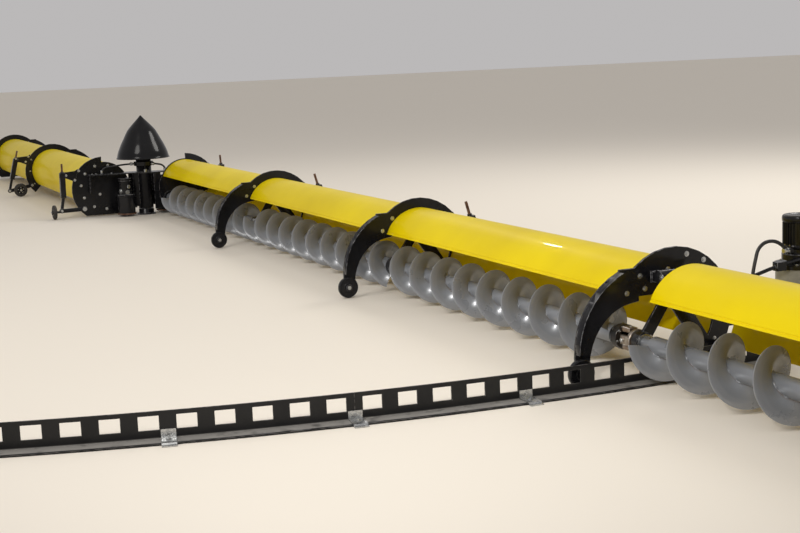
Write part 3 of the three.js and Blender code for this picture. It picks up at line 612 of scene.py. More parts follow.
# Bolts: galvanised hexagon bolts with washers through the plates, the arms, the bearings and the
# jack ears. They are set in one layout for everything that turns with the sweep.
galvanised, tree, shader = finish_material("galvanised", (0.55, 0.56, 0.57), 0.3, 0.9)
spangle = tree.nodes.new("ShaderNodeTexVoronoi")
spangle.inputs["Scale"].default_value = 130
spangle_place = tree.nodes.new("ShaderNodeTexCoord")
tree.links.new(spangle_place.outputs["Object"], spangle.inputs["Vector"])
spangle_tones = tones_along(tree, spangle.outputs["Color"], ((0, (0.36, 0.37, 0.38)), (1, (0.6, 0.61, 0.6))))
dusted(tree, shader, spangle_tones, (0.45, 0.38, 0.28), 0.5, 14.0, 0.26, 0.7)

bolt_sizes = ("Head Radius", "Head Height", "Washer Radius")
bolt_set, bolt_in, bolt_stand, bolt_lay = layout_group("bolt_set", bolt_sizes, "Z")
bolt_join = bolt_set.nodes.new("GeometryNodeJoinGeometry")
for label, sides, radius_from, radius_share, height_share in (
    ("washer", 16, "Washer Radius", 1.0, 0.5),
    ("head", 6, "Head Radius", 1.0, 2.0),
    ("stud", 8, "Head Radius", 0.52, 2.9),
):
    bolt_part = node_in(bolt_set, "GeometryNodeMeshCylinder", label=label)
    bolt_part.inputs["Vertices"].default_value = sides
    measures = ((radius_from, radius_share, "Radius"), ("Head Height", height_share, "Depth"))
    for source, share, size in measures:
        bolt_measure = node_in(bolt_set, "ShaderNodeMath", operation="MULTIPLY")
        bolt_measure.inputs[1].default_value = share
        bolt_set.links.new(bolt_in.outputs[source], bolt_measure.inputs[0])
        bolt_set.links.new(bolt_measure.outputs[0], bolt_part.inputs[size])
    bolt_set.links.new(bolt_part.outputs["Mesh"], bolt_join.inputs["Geometry"])
bolt_set.links.new(bolt_join.outputs["Geometry"], bolt_lay.inputs["Instance"])
bolt_size = node_in(bolt_set, "GeometryNodeInputNamedAttribute", data_type="FLOAT")
bolt_size.inputs["Name"].default_value = "size"
bolt_set.links.new(bolt_size.outputs["Attribute"], bolt_lay.inputs["Scale"])
bolt_spin = bolt_set.nodes.new("FunctionNodeAxisAngleToRotation")
bolt_set.links.new(random_between(bolt_set, 0.0, 1.047, 11), bolt_spin.inputs["Angle"])
bolt_turn = node_in(bolt_set, "FunctionNodeRotateRotation", rotation_space="LOCAL")
bolt_set.links.new(bolt_stand.outputs["Rotation"], bolt_turn.inputs["Rotation"])
bolt_set.links.new(bolt_spin.outputs["Rotation"], bolt_turn.inputs["Rotate By"])
bolt_set.links.new(bolt_turn.outputs["Rotation"], bolt_lay.inputs["Rotation"])


def bolts(name, places):
    sizes = {"Head Radius": 0.0098, "Washer Radius": 0.0136, "Head Height": 0.0048, "Finish": galvanised}
    return laid_out(name, places, bolt_set, sizes)


def facing_x(side, outward):
    return (outward, 0, 0) if side == "r" else (-outward, 0, 0)


sweep_bolts = []


def bolt_through(side, x_low, x_high, y, z, size=1.0):
    """A head on one side of a plate and a nut on the other."""
    sweep_bolts.append((on_arm(side, x_low, y, z), facing_x(side, -1), size))
    sweep_bolts.append((on_arm(side, x_high, y, z), facing_x(side, 1), size))


# distance behind the auger and height of the bolts in each plate
arm_bolts = ((-0.087, 0.416), (-0.014, 0.492), (0.013, 0.429), (0.143, 0.509))
ring_bolts = ((0.251, 0.573), (0.348, 0.536), (0.43, 0.44), (0.452, 0.3), (0.41, 0.145))
inner_plate_bolts = (
    (0.428, 0.485), (0.365, 0.449), (0.26, 0.522), (0.124, 0.52), (0.413, 0.329),
    (0.389, 0.201), (0.292, 0.103), (0.165, 0.073), (0.226, 0.227),
)
bearing_half = 0.024
for side, number in hoop_plates + outer_plates:
    x = first_plate + number * bay
    for y, z in arm_bolts + (() if number in (1, 2) else ring_bolts[:2]):
        bolt_through(side, x - plate_half, x + plate_half, y, z)
    for y, z in ring_bolts[2:]:
        bolt_through(side, x - plate_half, x + plate_half, y, z, 0.7)
    bearing_radius = 0.041 if (side, number) == ("r", 3) else 0.055
    bearing_far = bearing_half if (side, number) in hoop_plates else plate_half
    for k in range(4):
        a = math.radians(45 + 90 * k)
        y, z = bearing_radius * math.cos(a), axis_z + bearing_radius * math.sin(a)
        bolt_through(side, x - bearing_half, x + bearing_far, y, z, 0.55)
for side in ("r", "l"):
    for y, z in inner_plate_bolts:
        bolt_through(side, first_plate - plate_half, first_plate + plate_half, y, z, 1.1)

# Bearings and arm seams: each hanger carries a cast housing with a seal ring round the shaft, and
# a fillet weld runs along the inside of the flange on every front arm.
def swept(name, points, radius_at, material, sides=8, smooth_deg=60.0):
    """A closed round tube along a row of points."""
    verts, faces = [], []
    last = len(points) - 1
    normal = (points[1] - points[0]).orthogonal().normalized()
    for i, point in enumerate(points):
        ahead_dir = (points[min(i + 1, last)] - points[max(i - 1, 0)]).normalized()
        normal = (normal - ahead_dir * normal.dot(ahead_dir)).normalized()
        side_dir = ahead_dir.cross(normal)
        for k in range(sides):
            a = 2 * math.pi * k / sides
            verts.append(point + (normal * math.cos(a) + side_dir * math.sin(a)) * radius_at(i))
    for i in range(last):
        for k in range(sides):
            n = (k + 1) % sides
            faces.append((i * sides + k, i * sides + n, (i + 1) * sides + n, (i + 1) * sides + k))
    faces.append(tuple(reversed(range(sides))))
    faces.append(tuple(last * sides + k for k in range(sides)))
    return as_object(name, verts, faces, material, smooth_deg)


bead_random = random.Random(3)
arc_y, arc_z, arc_radius = 0.03, 0.15, 0.399
for side, number in hoop_plates + outer_plates:
    x = first_plate + number * bay
    seam = []
    for i in range(61):
        a = math.radians(114 + 64 * i / 60)
        y, z = arc_y + arc_radius * math.cos(a), arc_z + arc_radius * math.sin(a)
        seam.append(Vector(on_arm(side, x + plate_half + 0.001, y, z)))
    wobble = [0.0035 + 0.0012 * bead_random.random() for _ in seam]
    weld = swept(f"arm_weld_{side}{number}", seam, lambda i: wobble[i], black_enamel, 6)
    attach(weld, "sweep")
    shaft = journal_radius if (side, number) in (("r", 3),) + outer_plates else tube_radius
    outline = (
        (0, shaft + 0.0015), (0, shaft + 0.014), (0.003, shaft + 0.013), (0.005, shaft + 0.009),
        (0.005, shaft + 0.0015))
    ends = ((-1, "a"), (1, "b")) if (side, number) in hoop_plates else ((-1, "a"),)
    for end, letter in ends:
        face = x + end * bearing_half
        ring = [(face + end * (u - 0.0004), r) for u, r in outline]
        seal = turned(
            f"bearing_seal_{side}{number}_{letter}", ring, along_arm(side, 0, axis_z), galvanised, 32, True)
        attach(seal, "sweep")

# Front rollers: solid steel discs on a pin through the foot of each arm, black with a rubbed rim.
# Rear wheels: a rubber tyre on a steel centre, grey with floor dust.
wheel_rubber, tree, shader = finish_material("wheel_rubber", (0.03, 0.028, 0.025), 0.75)
coat = filmed(tree, shader, (0.02, 0.019, 0.018), (0.04, 0.036, 0.032), (0.1, 0.09, 0.08), 18.0, 0.5)
dusted(tree, shader, coat, (0.4, 0.34, 0.26), 0.9, 11.0, 0.7, 0.9)

roller_y, roller_z = -0.356, 0.07
roller_outline = (
    (0, 0.0126), (0, 0.03), (0.003, 0.033), (0.003, 0.055), (0, 0.058), (0, 0.0615), (0.003, 0.066),
    (0.008, 0.068), (0.022, 0.068), (0.027, 0.066), (0.03, 0.0615), (0.03, 0.058), (0.027, 0.055),
    (0.027, 0.033), (0.03, 0.03), (0.03, 0.0126))
for side, number in bays:
    x = first_plate + number * bay + plate_half + 0.005
    disc = turned(
        f"roller_disc_{side}{number}", [(x + u, r) for u, r in roller_outline],
        along_arm(side, roller_y, roller_z), black_enamel, 40, True, 28)
    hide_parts(f"roller_{side}{number}")
    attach(disc, f"roller_{side}{number}")
    sweep_bolts.append((on_arm(side, x + 0.041, roller_y, roller_z), facing_x(side, 1), 0.95))
    sweep_bolts.append((on_arm(side, x - 0.019, roller_y, roller_z), facing_x(side, -1), 1.05))

tyre = [
    (-0.021, 0.045), (-0.021, 0.06), (-0.0195, 0.068), (-0.016, 0.0755), (-0.01, 0.079), (-0.004, 0.08),
    (0.004, 0.08), (0.01, 0.079), (0.016, 0.0755), (0.0195, 0.068), (0.021, 0.06), (0.021, 0.045),
]
centre = [
    (-0.0235, 0.0126), (-0.0235, 0.02), (-0.017, 0.023), (-0.015, 0.041), (-0.018, 0.0455),
    (0.018, 0.0455), (0.015, 0.041), (0.017, 0.023), (0.0235, 0.02), (0.0235, 0.0126),
]
rear_wheels = (("r", 0), ("r", 1), ("r", 2), ("l", 0), ("l", 1), ("l", 2))
cross_wheel_y = 0.703
for side, number in rear_wheels:
    name = f"{side}{number}"
    if number == 0:
        at_x = first_plate - 0.0123
        place = lambda u, a, b: on_arm(side, at_x + a, cross_wheel_y + u, 0.076 + b)
        shrink, narrow = 0.073 / 0.08, 0.019 / 0.021
        turn_way = Vector(on_arm(side, 0, 1, 0)) - Vector(on_arm(side, 0, 0, 0))
    else:
        at_x = first_plate + number * bay - 0.0453
        place = lambda u, a, b: on_arm(side, at_x - u, 0.588 + a, 0.083 + b)
        shrink, narrow = 1.0, 1.0
        turn_way = Vector(facing_x(side, -1))
    for label, outline, finish, slot in (
        ("tyre", tyre, wheel_rubber, "wheel_rubber"),
        ("wheel_centre", centre, black_enamel, "black_enamel"),
    ):
        sized = [(u * narrow, r * shrink) for u, r in outline]
        ring = turned(f"{label}_{name}", sized, place, finish, 40, True)
        if label == "tyre":
            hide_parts(f"wheel_{name}")
        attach(ring, f"wheel_{name}")
    places = []
    for k in range(5):
        a = 2 * math.pi * k / 5 + 0.3
        spot = place(0.0155 * narrow, 0.032 * math.cos(a), 0.032 * math.sin(a))
        places.append((spot, tuple(turn_way), 0.5))
    nuts = bolts(f"wheel_nuts_{name}", places)
    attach(nuts, f"wheel_{name}")
    pin_end = (0.719 + 0.0145 - cross_wheel_y) if number == 0 else 0.0285
    sweep_bolts.append((place(pin_end, 0, 0), tuple(turn_way), 1.0))

# Rear jacks: a square tube on an ear off the ring, with a threaded rod and nut that push the
# trailing arm and its wheel down. The steel is black, the rods are dry and rusty.
rusty_iron, tree, shader = finish_material("rusty_iron", (0.2, 0.1, 0.05), 0.7, 0.35)
rust_noise = noise_over(tree, 24, 8, 0.68)
rust_tones = tones_along(tree, rust_noise.outputs["Fac"], (
    (0.3, (0.2, 0.18, 0.16)), (0.47, (0.16, 0.08, 0.045)), (0.66, (0.075, 0.03, 0.015))))
tree.links.new(rust_tones, shader.inputs["Base Color"])
rust_rough = ranged(tree, rust_noise.outputs["Fac"], 0, 1, 0.35, 0.9)
tree.links.new(rust_rough, shader.inputs["Roughness"])
bumped(tree, shader, rust_noise.outputs["Fac"], 0.35, 0.001)

# foot of the rod and its lean in degrees, how far it is wound out, pivot bolt, trailing arm's bolt
jack_settings = {
    ("r", True): ((0.63, 0.205), 15.5, 0.008, (0.442, 0.128), (0.692, 0.079)),
    ("l", True): ((0.676, 0.205), 14, 0.0, (0.442, 0.128), (0.712, 0.078)),
    ("r", False): ((0.585, 0.205), 3.5, 0.003, (0.394, 0.088), (0.628, 0.084)),
    ("l", False): ((0.601, 0.205), 1, 0.0, (0.394, 0.088), (0.628, 0.084)),
}
rod_foot, thread_pitch = 0.279, 0.0034
for side, number in rear_wheels:
    x = first_plate + number * bay
    jack = edged_copy(f"jack_{side}{number}", f"jack_steel_{side}{number}", black_enamel, 0.0014)
    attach(jack, "sweep")
    foot, tilt, stroke, pivot, arm_end = jack_settings[side, number > 0]
    lean = (-math.sin(math.radians(tilt)), math.cos(math.radians(tilt)))
    rod_x = x + 0.0027
    thread = [(rod_foot, 0.0)]
    for k in range(24 + round(stroke / thread_pitch)):
        thread += [(rod_foot + k * thread_pitch, 0.0094), (0.2807 + k * thread_pitch, 0.0106)]
    thread += [(0.361 + stroke, 0.0094), (0.362 + stroke, 0.0)]
    rod = turned(
        f"jack_thread_{side}{number}", thread,
        lambda u, a, b: on_arm(
            side, rod_x + a, foot[0] + lean[0] * u + lean[1] * b, foot[1] + lean[1] * u - lean[0] * b),
        rusty_iron, 14, False, 20)
    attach(rod, "sweep")
    ear_face = x - 0.0173
    tube_face = x - 0.0233
    ear_bolts = ((0.454, 0.45), (0.484, 0.4))
    if side == "l":
        ear_bolts = ((0.561, 0.446), (0.475, 0.393)) if number == 0 else ((0.463, 0.478), (0.499, 0.419))
    for y, z in ear_bolts:
        sweep_bolts.append((on_arm(side, ear_face, y, z), facing_x(side, -1), 1.0))
    if number > 0:
        tube_bolt = (foot[0] + lean[0] * 0.245, foot[1] + lean[1] * 0.245) if side == "r" else (0.612, 0.463)
        bolt_through(side, tube_face, x + 0.0307, *tube_bolt)
    bolt_through(side, ear_face, x + plate_half, *pivot, 1.7 if number == 0 else 1.2)
    bolt_through(side, ear_face, x + 0.0067, *arm_end, 1.1)

# Hub: a heavy post over the pivot pin, with a shelf and webs between the two inner end plates. The
# spun dome sits on top of it. The dome is polished gloss black with a rolled rim.
hub = edged_copy("hub_frame", "hub_steel", black_enamel)
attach(hub, "sweep")
base = edged_copy("pivot_base", "pivot_pedestal", black_enamel)
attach(base, "floor_parts")
for side in ("r", "l"):
    for y in (0.3, 0.26, 0.1):
        sweep_bolts.append((on_arm(side, 0.1, y, 0.442), (0, 0, 1), 0.9))

dome_black, tree, shader = finish_material(
    "dome_black", (0.008, 0.008, 0.009), 0.12, specular=0.1, coat=0.25, coat_rough=0.08)
coat = filmed(tree, shader, (0.005, 0.005, 0.006), (0.011, 0.011, 0.012), (0.25, 0.24, 0.22), 3.0, 0.05)
dusted(tree, shader, coat, (0.3, 0.27, 0.22), 0.02, 16.0, 0.2, 0.5)
dome_rim_z = 0.582
dome_outside = [
    (0.274, 0.004), (0.264, 0.02), (0.2525, 0.066), (0.234, 0.112), (0.2135, 0.156), (0.189, 0.202),
    (0.166, 0.247), (0.14, 0.292), (0.1005, 0.338), (0.058, 0.382), (0.03, 0.41), (0.007, 0.436), (0.0, 0.44)]
dome_inside = [
    (0.0, 0.43), (0.054, 0.376), (0.098, 0.331), (0.135, 0.287), (0.162, 0.242), (0.184, 0.197),
    (0.208, 0.152), (0.229, 0.108), (0.2465, 0.06), (0.256, 0.018)]
dome_roll = [(0.262, 0.002), (0.268, 0.0), (0.272, 0.001)]
smooth_outside = []
for i in range(len(dome_outside) - 1):
    near = [dome_outside[min(max(i + k, 0), len(dome_outside) - 1)] for k in (-1, 0, 1, 2)]
    for step in range(3):
        t = step / 3
        weights = (
            -0.5 * t + t * t - 0.5 * t**3, 1 - 2.5 * t * t + 1.5 * t**3,
            0.5 * t + 2 * t * t - 1.5 * t**3, -0.5 * t * t + 0.5 * t**3)
        smooth_outside.append([sum(spot[n] * w for spot, w in zip(near, weights)) for n in (0, 1)])
dome_profile = smooth_outside + [(0.0, 0.44)] + dome_inside + dome_roll
round_post = lambda u, a, b: (a, b, u)
dome_outline = [(dome_rim_z + z, r) for r, z in dome_profile]
dome = turned("dome_shell", dome_outline, round_post, dome_black, 96, True, 40)
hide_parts("dome")
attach(dome, "sweep")

# Gear motors of the two augers: black cast housings that stand beside the post, with a worm case
# below, rusty round its foot, and a flanged motor above with three bright oil plugs.
# bearing in degrees, height and size of each plug
oil_plugs = ((185, 0.25, 1.7), (199, 0.305, 1.5), (112, 0.262, 1.9))
gear_x = -0.06
flange_radius = 0.094
motor_radius = 0.0615
for side in ("r", "l"):
    case = edged_copy(f"gearbox_{side}", f"gear_case_{side}", black_enamel, 0.003)
    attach(case, "sweep")
    for low, high in ((0.02, 0.034), (0.2, 0.214)):
        flange_outline = (
            (low, 0.07), (low, flange_radius), (low + 0.002, flange_radius + 0.002),
            (high, flange_radius + 0.002), (high, 0.07))
        flange = turned(
            f"gear_flange_{side}_{int(low * 1000)}", flange_outline,
            lambda u, a, b: on_arm(side, gear_x + a, b, u),
            rusty_iron if low < 0.1 else black_enamel, 40, True)
        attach(flange, "sweep")
    for k in range(8):
        a = math.radians(22.5 + 45 * k)
        spot = on_arm(side, gear_x + 0.082 * math.cos(a), 0.082 * math.sin(a), 0.2155)
        sweep_bolts.append((spot, (0, 0, 1), 0.6))
    for plug_deg, z, size in oil_plugs:
        a = math.radians(plug_deg)
        outward = Vector(on_arm(side, math.cos(a), math.sin(a), 0)) - Vector(on_arm(side, 0, 0, 0))
        spot = on_arm(side, gear_x + motor_radius * math.cos(a), motor_radius * math.sin(a), z)
        sweep_bolts.append((spot, tuple(outward), size))

# Conduits: black ribbed flexible conduit with silver compression glands. Leads drop from the
# collar under the dome to the hub, and the drive's lead runs back along the hoops to it.
conduit_black, tree, shader = finish_material("conduit_black", (0.014, 0.014, 0.015), 0.4)
coat = filmed(tree, shader, (0.01, 0.01, 0.011), (0.022, 0.021, 0.021), (0.05, 0.05, 0.05), 12.0, 0.3)
dusted(tree, shader, coat, (0.36, 0.31, 0.24), 0.45, 20.0, 0.36, 0.8)


def route(points, steps):
    """The same smooth curve through the points as the solid follows."""
    knots = [Vector(p) for p in points]
    spots = []
    for s in range(steps + 1):
        along = (len(knots) - 1) * s / steps
        i = min(int(along), len(knots) - 2)
        t = along - i
        p1, p2 = knots[i], knots[i + 1]
        p0 = knots[i - 1] if i > 0 else 2 * p1 - p2
        p3 = knots[i + 2] if i + 2 < len(knots) else 2 * p2 - p1
        gaps = ((p0, p1), (p1, p2), (p2, p3))
        d0, d1, d2 = (max((b - a).length_squared, 1e-12) ** 0.25 for a, b in gaps)
        m1 = ((p1 - p0) / d0 - (p2 - p0) / (d0 + d1) + (p2 - p1) / d1) * d1
        m2 = ((p2 - p1) / d1 - (p3 - p1) / (d1 + d2) + (p3 - p2) / d2) * d1
        spots.append(p1 + m1 * t + (3 * (p2 - p1) - 2 * m1 - m2) * t * t + (2 * (p1 - p2) + m1 + m2) * t**3)
    return spots


conduit_radius = 0.009
conduit_ribs = lambda i: conduit_radius + (0.0006 if i % 2 else -0.0004)
conduit_y = 0.7373
conduit_z = 0.28
drive_route = route((
    (8.76, 1.1797, 0.507), (8.76, 1.168, 0.507), (8.76, 1.143, 0.535), (8.76, 1.104, 0.558),
    (8.76, 1.062, 0.565), (8.76, 1.022, 0.555), (8.76, 0.992, 0.528), (8.76, 0.976, 0.482),
    (8.76, 0.962, 0.425), (8.764, 0.95, 0.37), (8.772, 0.93, 0.33), (8.776, 0.89, 0.31),
    (8.77, 0.84, 0.303), (8.74, 0.78, 0.298), (8.69, 0.748, 0.288), (8.64, conduit_y, conduit_z),
    (8.6, conduit_y, conduit_z)), 400)
tail_route = route((
    (0.2, conduit_y, conduit_z), (0.16, conduit_y, conduit_z), (0.131, conduit_y, conduit_z + 0.002),
    (0.11, 0.724, 0.3), (0.097, 0.69, 0.36), (0.095, 0.64, 0.43), (0.095, 0.59, 0.478),
    (0.095, 0.545, 0.488), (0.095, 0.504, 0.47), (0.095, 0.504, 0.4423)), 120)
straight = [Vector((8.6 - 8.4 * k / 420, conduit_y, conduit_z)) for k in range(1, 420)]
lead = swept("drive_lead", drive_route + straight + tail_route, conduit_ribs, conduit_black, 12)
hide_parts("drive_conduit")
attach(lead, "sweep")

hub_routes = (
    ((-0.04, -0.075, 0.525), (-0.06, -0.18, 0.522), (-0.08, -0.3, 0.51), (-0.092, -0.385, 0.497),
     (-0.095, -0.418, 0.465), (-0.095, -0.418, 0.4423)),
    ((0.07, 0.04, 0.525), (0.098, 0.11, 0.52), (0.104, 0.172, 0.502), (0.101, 0.198, 0.468),
     (0.101, 0.198, 0.4423)),
    ((0.088, -0.006, 0.51), (0.088, -0.006, 0.475), (0.088, -0.006, 0.4423)),
)
collar_outline = (
    (0.505, 0.0775), (0.505, 0.096), (0.508, 0.1), (0.545, 0.1), (0.548, 0.096), (0.548, 0.0775))
collar = turned("conduit_collar", collar_outline, round_post, black_enamel, 48, True)
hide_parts("hub_conduits")
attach(collar, "sweep")
glands = [
    ("drive", Vector((8.76, 1.1797, 0.507)), Vector((0, -1, 0))),
    ("tail", Vector((0.095, 0.504, 0.4423)), Vector((0, 0, 1))),
    ("north", Vector((0.101, 0.198, 0.4423)), Vector((0, 0, 1))),
    ("south", Vector((-0.095, -0.418, 0.4423)), Vector((0, 0, 1))),
    ("post", Vector((0.088, -0.006, 0.4423)), Vector((0, 0, 1))),
    ("collar_north", Vector((0.086, 0.062, 0.524)), Vector((0.4, 0.9, 0)).normalized()),
    ("collar_south", Vector((-0.045, -0.1, 0.5245)), Vector((-0.2, -0.98, 0)).normalized()),
]
for index, points in enumerate(hub_routes):
    hose = swept(f"hub_lead_{index}", route(points, 60), conduit_ribs, conduit_black, 12)
    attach(hose, "sweep")
gland_outline = (
    (0, 0), (0, 0.016), (0.006, 0.016), (0.006, 0.0135), (0.012, 0.0135), (0.012, 0.0165),
    (0.026, 0.0165), (0.032, 0.013), (0.034, 0.0))
for label, spot, way in glands:
    across = way.orthogonal().normalized()
    other = way.cross(across)
    gland = turned(
        f"gland_{label}", gland_outline,
        lambda u, a, b: spot + way * u + across * a + other * b, galvanised, 12, False, 20)
    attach(gland, "sweep")

# Universal joint: two forged yokes round a cross, dull steel with a little rust, its inner end near-black as
# painted shade. The knuckle on the third hoop is black, with galvanised bolts, and holds the outer section
# up.
joint_steel, tree, shader = finish_material("joint_steel", (0.3, 0.26, 0.21), 0.42, 0.75)
coat = filmed(tree, shader, (0.34, 0.3, 0.25), (0.22, 0.15, 0.1), (0.5, 0.48, 0.45), 22.0, 0.4)
yoke_place = tree.nodes.new("ShaderNodeTexCoord")
yoke_along = tree.nodes.new("ShaderNodeSeparateXYZ")
tree.links.new(yoke_place.outputs["Object"], yoke_along.inputs[0])
# Painted shade: the inner end of the yokes is laid near-black, standing in for the shade it sits in.
yoke_painted_shade = ranged(tree, yoke_along.outputs["X"], 8.752, 8.742)
yoke_coat_with_shade = laid_over(tree, yoke_painted_shade, coat, (0.02, 0.019, 0.018))
dusted(tree, shader, yoke_coat_with_shade, (0.45, 0.38, 0.28), 0.25, 14.0, 0.32, 0.8)
joint = edged_copy("universal_joint", "joint_yokes", joint_steel, 0.002)
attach(joint, "auger_right")
joint_bolts = []
joint_x = 8.79


def round_joint(x, radius, a):
    return (x, arm_offset + radius * math.cos(a), axis_z + radius * math.sin(a))


for k in range(4):
    a = math.pi / 2 * k
    joint_bolts.append((round_joint(joint_x, 0.0585, a), (0, math.cos(a), math.sin(a)), 0.75))
for k in range(6):
    a = math.pi / 3 * k + 0.3
    joint_bolts.append((round_joint(joint_x - 0.0905, 0.056, a), (-1, 0, 0), 0.6))
    joint_bolts.append((round_joint(joint_x - 0.0455, 0.052, a), (1, 0, 0), 0.6))
joint_heads = bolts("joint_bolts", joint_bolts)
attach(joint_heads, "auger_right")

knuckle = edged_copy("knuckle_r3", "knuckle_steel", black_enamel, 0.002)
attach(knuckle, "sweep")


def cut_piece(name, verts, faces, edge, material):
    """A solid of flat faces with its sharp corners chamfered."""
    made = bmesh.new()
    points = [made.verts.new(v) for v in verts]
    for face in faces:
        made.faces.new([points[k] for k in face])
    chamfered(made, edge)
    return from_bmesh(name, made, material, 36)


gusset_outline = [(-0.052, 0.396), (0.05, 0.396), (0.135, 0.44), (0.135, 0.512), (0.03, 0.48), (-0.03, 0.43)]
verts, faces = prism(gusset_outline, 8.8785, 8.8895, lambda x, y, z: on_arm("r", x, y, z))
gusset = cut_piece("knuckle_gusset", verts, faces, 0.0012, black_enamel)
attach(gusset, "sweep")
for end in (-1, 1):
    sweep_bolts.append(((8.9913, arm_offset + 0.084 + end * 0.0445, 0.49), (0, end, 0), 1.3))
for y in (0.062, 0.1):
    sweep_bolts.append(((9.085, arm_offset + y, 0.514), (0, 0, 1), 0.8))

# Track drive: a bracket off the third hoop holds a grey gear unit with a black rim flange. A
# finned motor stands on it, and a cut steel sprocket below it walks along the slots of the rail.
drive_x, drive_y = 8.751341, 1.255
support = edged_copy("drive_support", "drive_bracket", black_enamel)
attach(support, "sweep")
for y, z in ((0.77, 0.37), (0.82, 0.37), (0.68, 0.3), (0.68, 0.22), (0.83, 0.21)):
    bolt_through("r", 8.8644, 8.884, y - arm_offset, z, 1.0)

gear_grey, tree, shader = finish_material("gear_grey", (0.24, 0.23, 0.2), 0.5)
coat = filmed(tree, shader, (0.19, 0.185, 0.16), (0.3, 0.29, 0.25), (0.45, 0.43, 0.38), 14.0, 0.3)
dusted(tree, shader, coat, (0.5, 0.43, 0.32), 0.8, 10.0, 0.42, 0.8)
round_drive = lambda u, a, b: (drive_x + a, drive_y + b, u)
gear_outline = (
    (0.1, 0.027), (0.1, 0.058), (0.103, 0.06), (0.129, 0.06), (0.131, 0.112), (0.137, 0.1165),
    (0.145, 0.118), (0.228, 0.118), (0.23, 0.1165), (0.236, 0.1165), (0.238, 0.118), (0.402, 0.118),
    (0.412, 0.1165), (0.416, 0.1165), (0.4165, 0.123), (0.418, 0.125), (0.4385, 0.125), (0.44, 0.1235),
    (0.44, 0.027))
gear_unit = turned("gear_unit_case", gear_outline, round_drive, gear_grey, 64, True)
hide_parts("drive_gear_unit")
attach(gear_unit, "sweep")
rim_outline = (
    (0.4155, 0.119), (0.4155, 0.1245), (0.417, 0.1262), (0.439, 0.1262), (0.4405, 0.1248),
    (0.4405, 0.062), (0.43, 0.062), (0.43, 0.119))
rim = turned("gear_unit_rim", rim_outline, round_drive, black_enamel, 64, True)
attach(rim, "sweep")
for k in range(12):
    a = math.radians(15 + 30 * k)
    sweep_bolts.append((round_drive(0.4407, 0.112 * math.cos(a), 0.112 * math.sin(a)), (0, 0, 1), 0.7))
for k in range(8):
    a = math.radians(45 * k)
    out_x, out_y = math.cos(a), math.sin(a)
    sweep_bolts.append((round_drive(0.17, 0.1178 * out_x, 0.1178 * out_y), (out_x, out_y, 0), 0.75))

motor_outline = (
    (0.4405, 0.03), (0.4405, 0.062), (0.452, 0.062), (0.456, 0.058), (0.51, 0.058), (0.516, 0.064),
    (0.521, 0.076), (0.528, 0.078), (0.534, 0.074), (0.646, 0.074), (0.65, 0.0825), (0.654, 0.085),
    (0.672, 0.086), (0.681, 0.083), (0.686, 0.075), (0.686, 0.05), (0.683, 0.045), (0.683, 0.03))
motor = turned("drive_motor_case", motor_outline, round_drive, black_enamel, 64, True)
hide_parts("drive_motor")
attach(motor, "sweep")
fan_outline = (
    (0.68, 0), (0.68, 0.046), (0.684, 0.046), (0.6855, 0.04), (0.6855, 0.012), (0.683, 0.01), (0.683, 0))
fan_cover = turned("drive_fan_cover", fan_outline, round_drive, black_enamel, 32)
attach(fan_cover, "sweep")

fin_set, fin_in, _, fin_lay = layout_group("fin_set", ("Fin Size",), "X", "NodeSocketVector")
fin_box = fin_set.nodes.new("GeometryNodeMeshCube")
fin_set.links.new(fin_in.outputs["Fin Size"], fin_box.inputs["Size"])
fin_set.links.new(fin_box.outputs["Mesh"], fin_lay.inputs["Instance"])
fin_count = 30
fin_places = []
for k in range(fin_count):
    a = 2 * math.pi * k / fin_count
    out_x, out_y = math.cos(a), math.sin(a)
    fin_places.append((round_drive(0.591, 0.077 * out_x, 0.077 * out_y), (out_x, out_y, 0), 1.0))
fin_sizes = {"Fin Size": (0.012, 0.0028, 0.112), "Finish": black_enamel}
fins = laid_out("drive_motor_fins", fin_places, fin_set, fin_sizes)
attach(fins, "sweep")

box_outline = [
    (-0.075, 0.496), (-0.075, 0.538), (-0.073, 0.54), (-0.04, 0.54), (-0.04, 0.494), (-0.073, 0.494)]
verts, faces = prism(box_outline, drive_x - 0.022, drive_x + 0.026, lambda x, y, z: (x, drive_y + y, z))
terminal_box = cut_piece("terminal_box", verts, faces, 0.0015, black_enamel)
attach(terminal_box, "sweep")
for dx, dz in ((-0.017, 0.499), (0.021, 0.499), (-0.017, 0.535), (0.021, 0.535)):
    sweep_bolts.append(((drive_x + dx, drive_y - 0.0755, dz), (0, -1, 0), 0.3))

sprocket = edged_copy("drive_sprocket", "sprocket_steel", galvanised, 0.0018)
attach(sprocket, "drive_sprocket")

all_bolts = bolts("sweep_bolts", sweep_bolts)
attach(all_bolts, "sweep")

# Rail: slotted angle bent to the circle and painted black. Its foot is trodden grey with grain dust, save a
# strip of painted shade along its outer edge, and a galvanised clip, bolted to leg and foot, holds it down at
# every fifth slot.
rail_enamel, tree, shader = finish_material("rail_enamel", (0.012, 0.012, 0.014), 0.3, specular=0.3)
coat = filmed(tree, shader, (0.006, 0.006, 0.007), (0.013, 0.013, 0.013), (0.16, 0.15, 0.14), 6.0, 0.2)
rail_place = tree.nodes.new("ShaderNodeTexCoord")
rail_height = tree.nodes.new("ShaderNodeSeparateXYZ")
tree.links.new(rail_place.outputs["Object"], rail_height.inputs[0])
rail_low = ranged(tree, rail_height.outputs["Z"], 0.014, 0.0075, 0.0, 0.8)
rail_flat = node_in(tree, "ShaderNodeVectorMath", operation="MULTIPLY")
rail_flat.inputs[1].default_value = (1, 1, 0)
tree.links.new(rail_place.outputs["Object"], rail_flat.inputs[0])
rail_out = node_in(tree, "ShaderNodeVectorMath", operation="LENGTH")
tree.links.new(rail_flat.outputs["Vector"], rail_out.inputs[0])
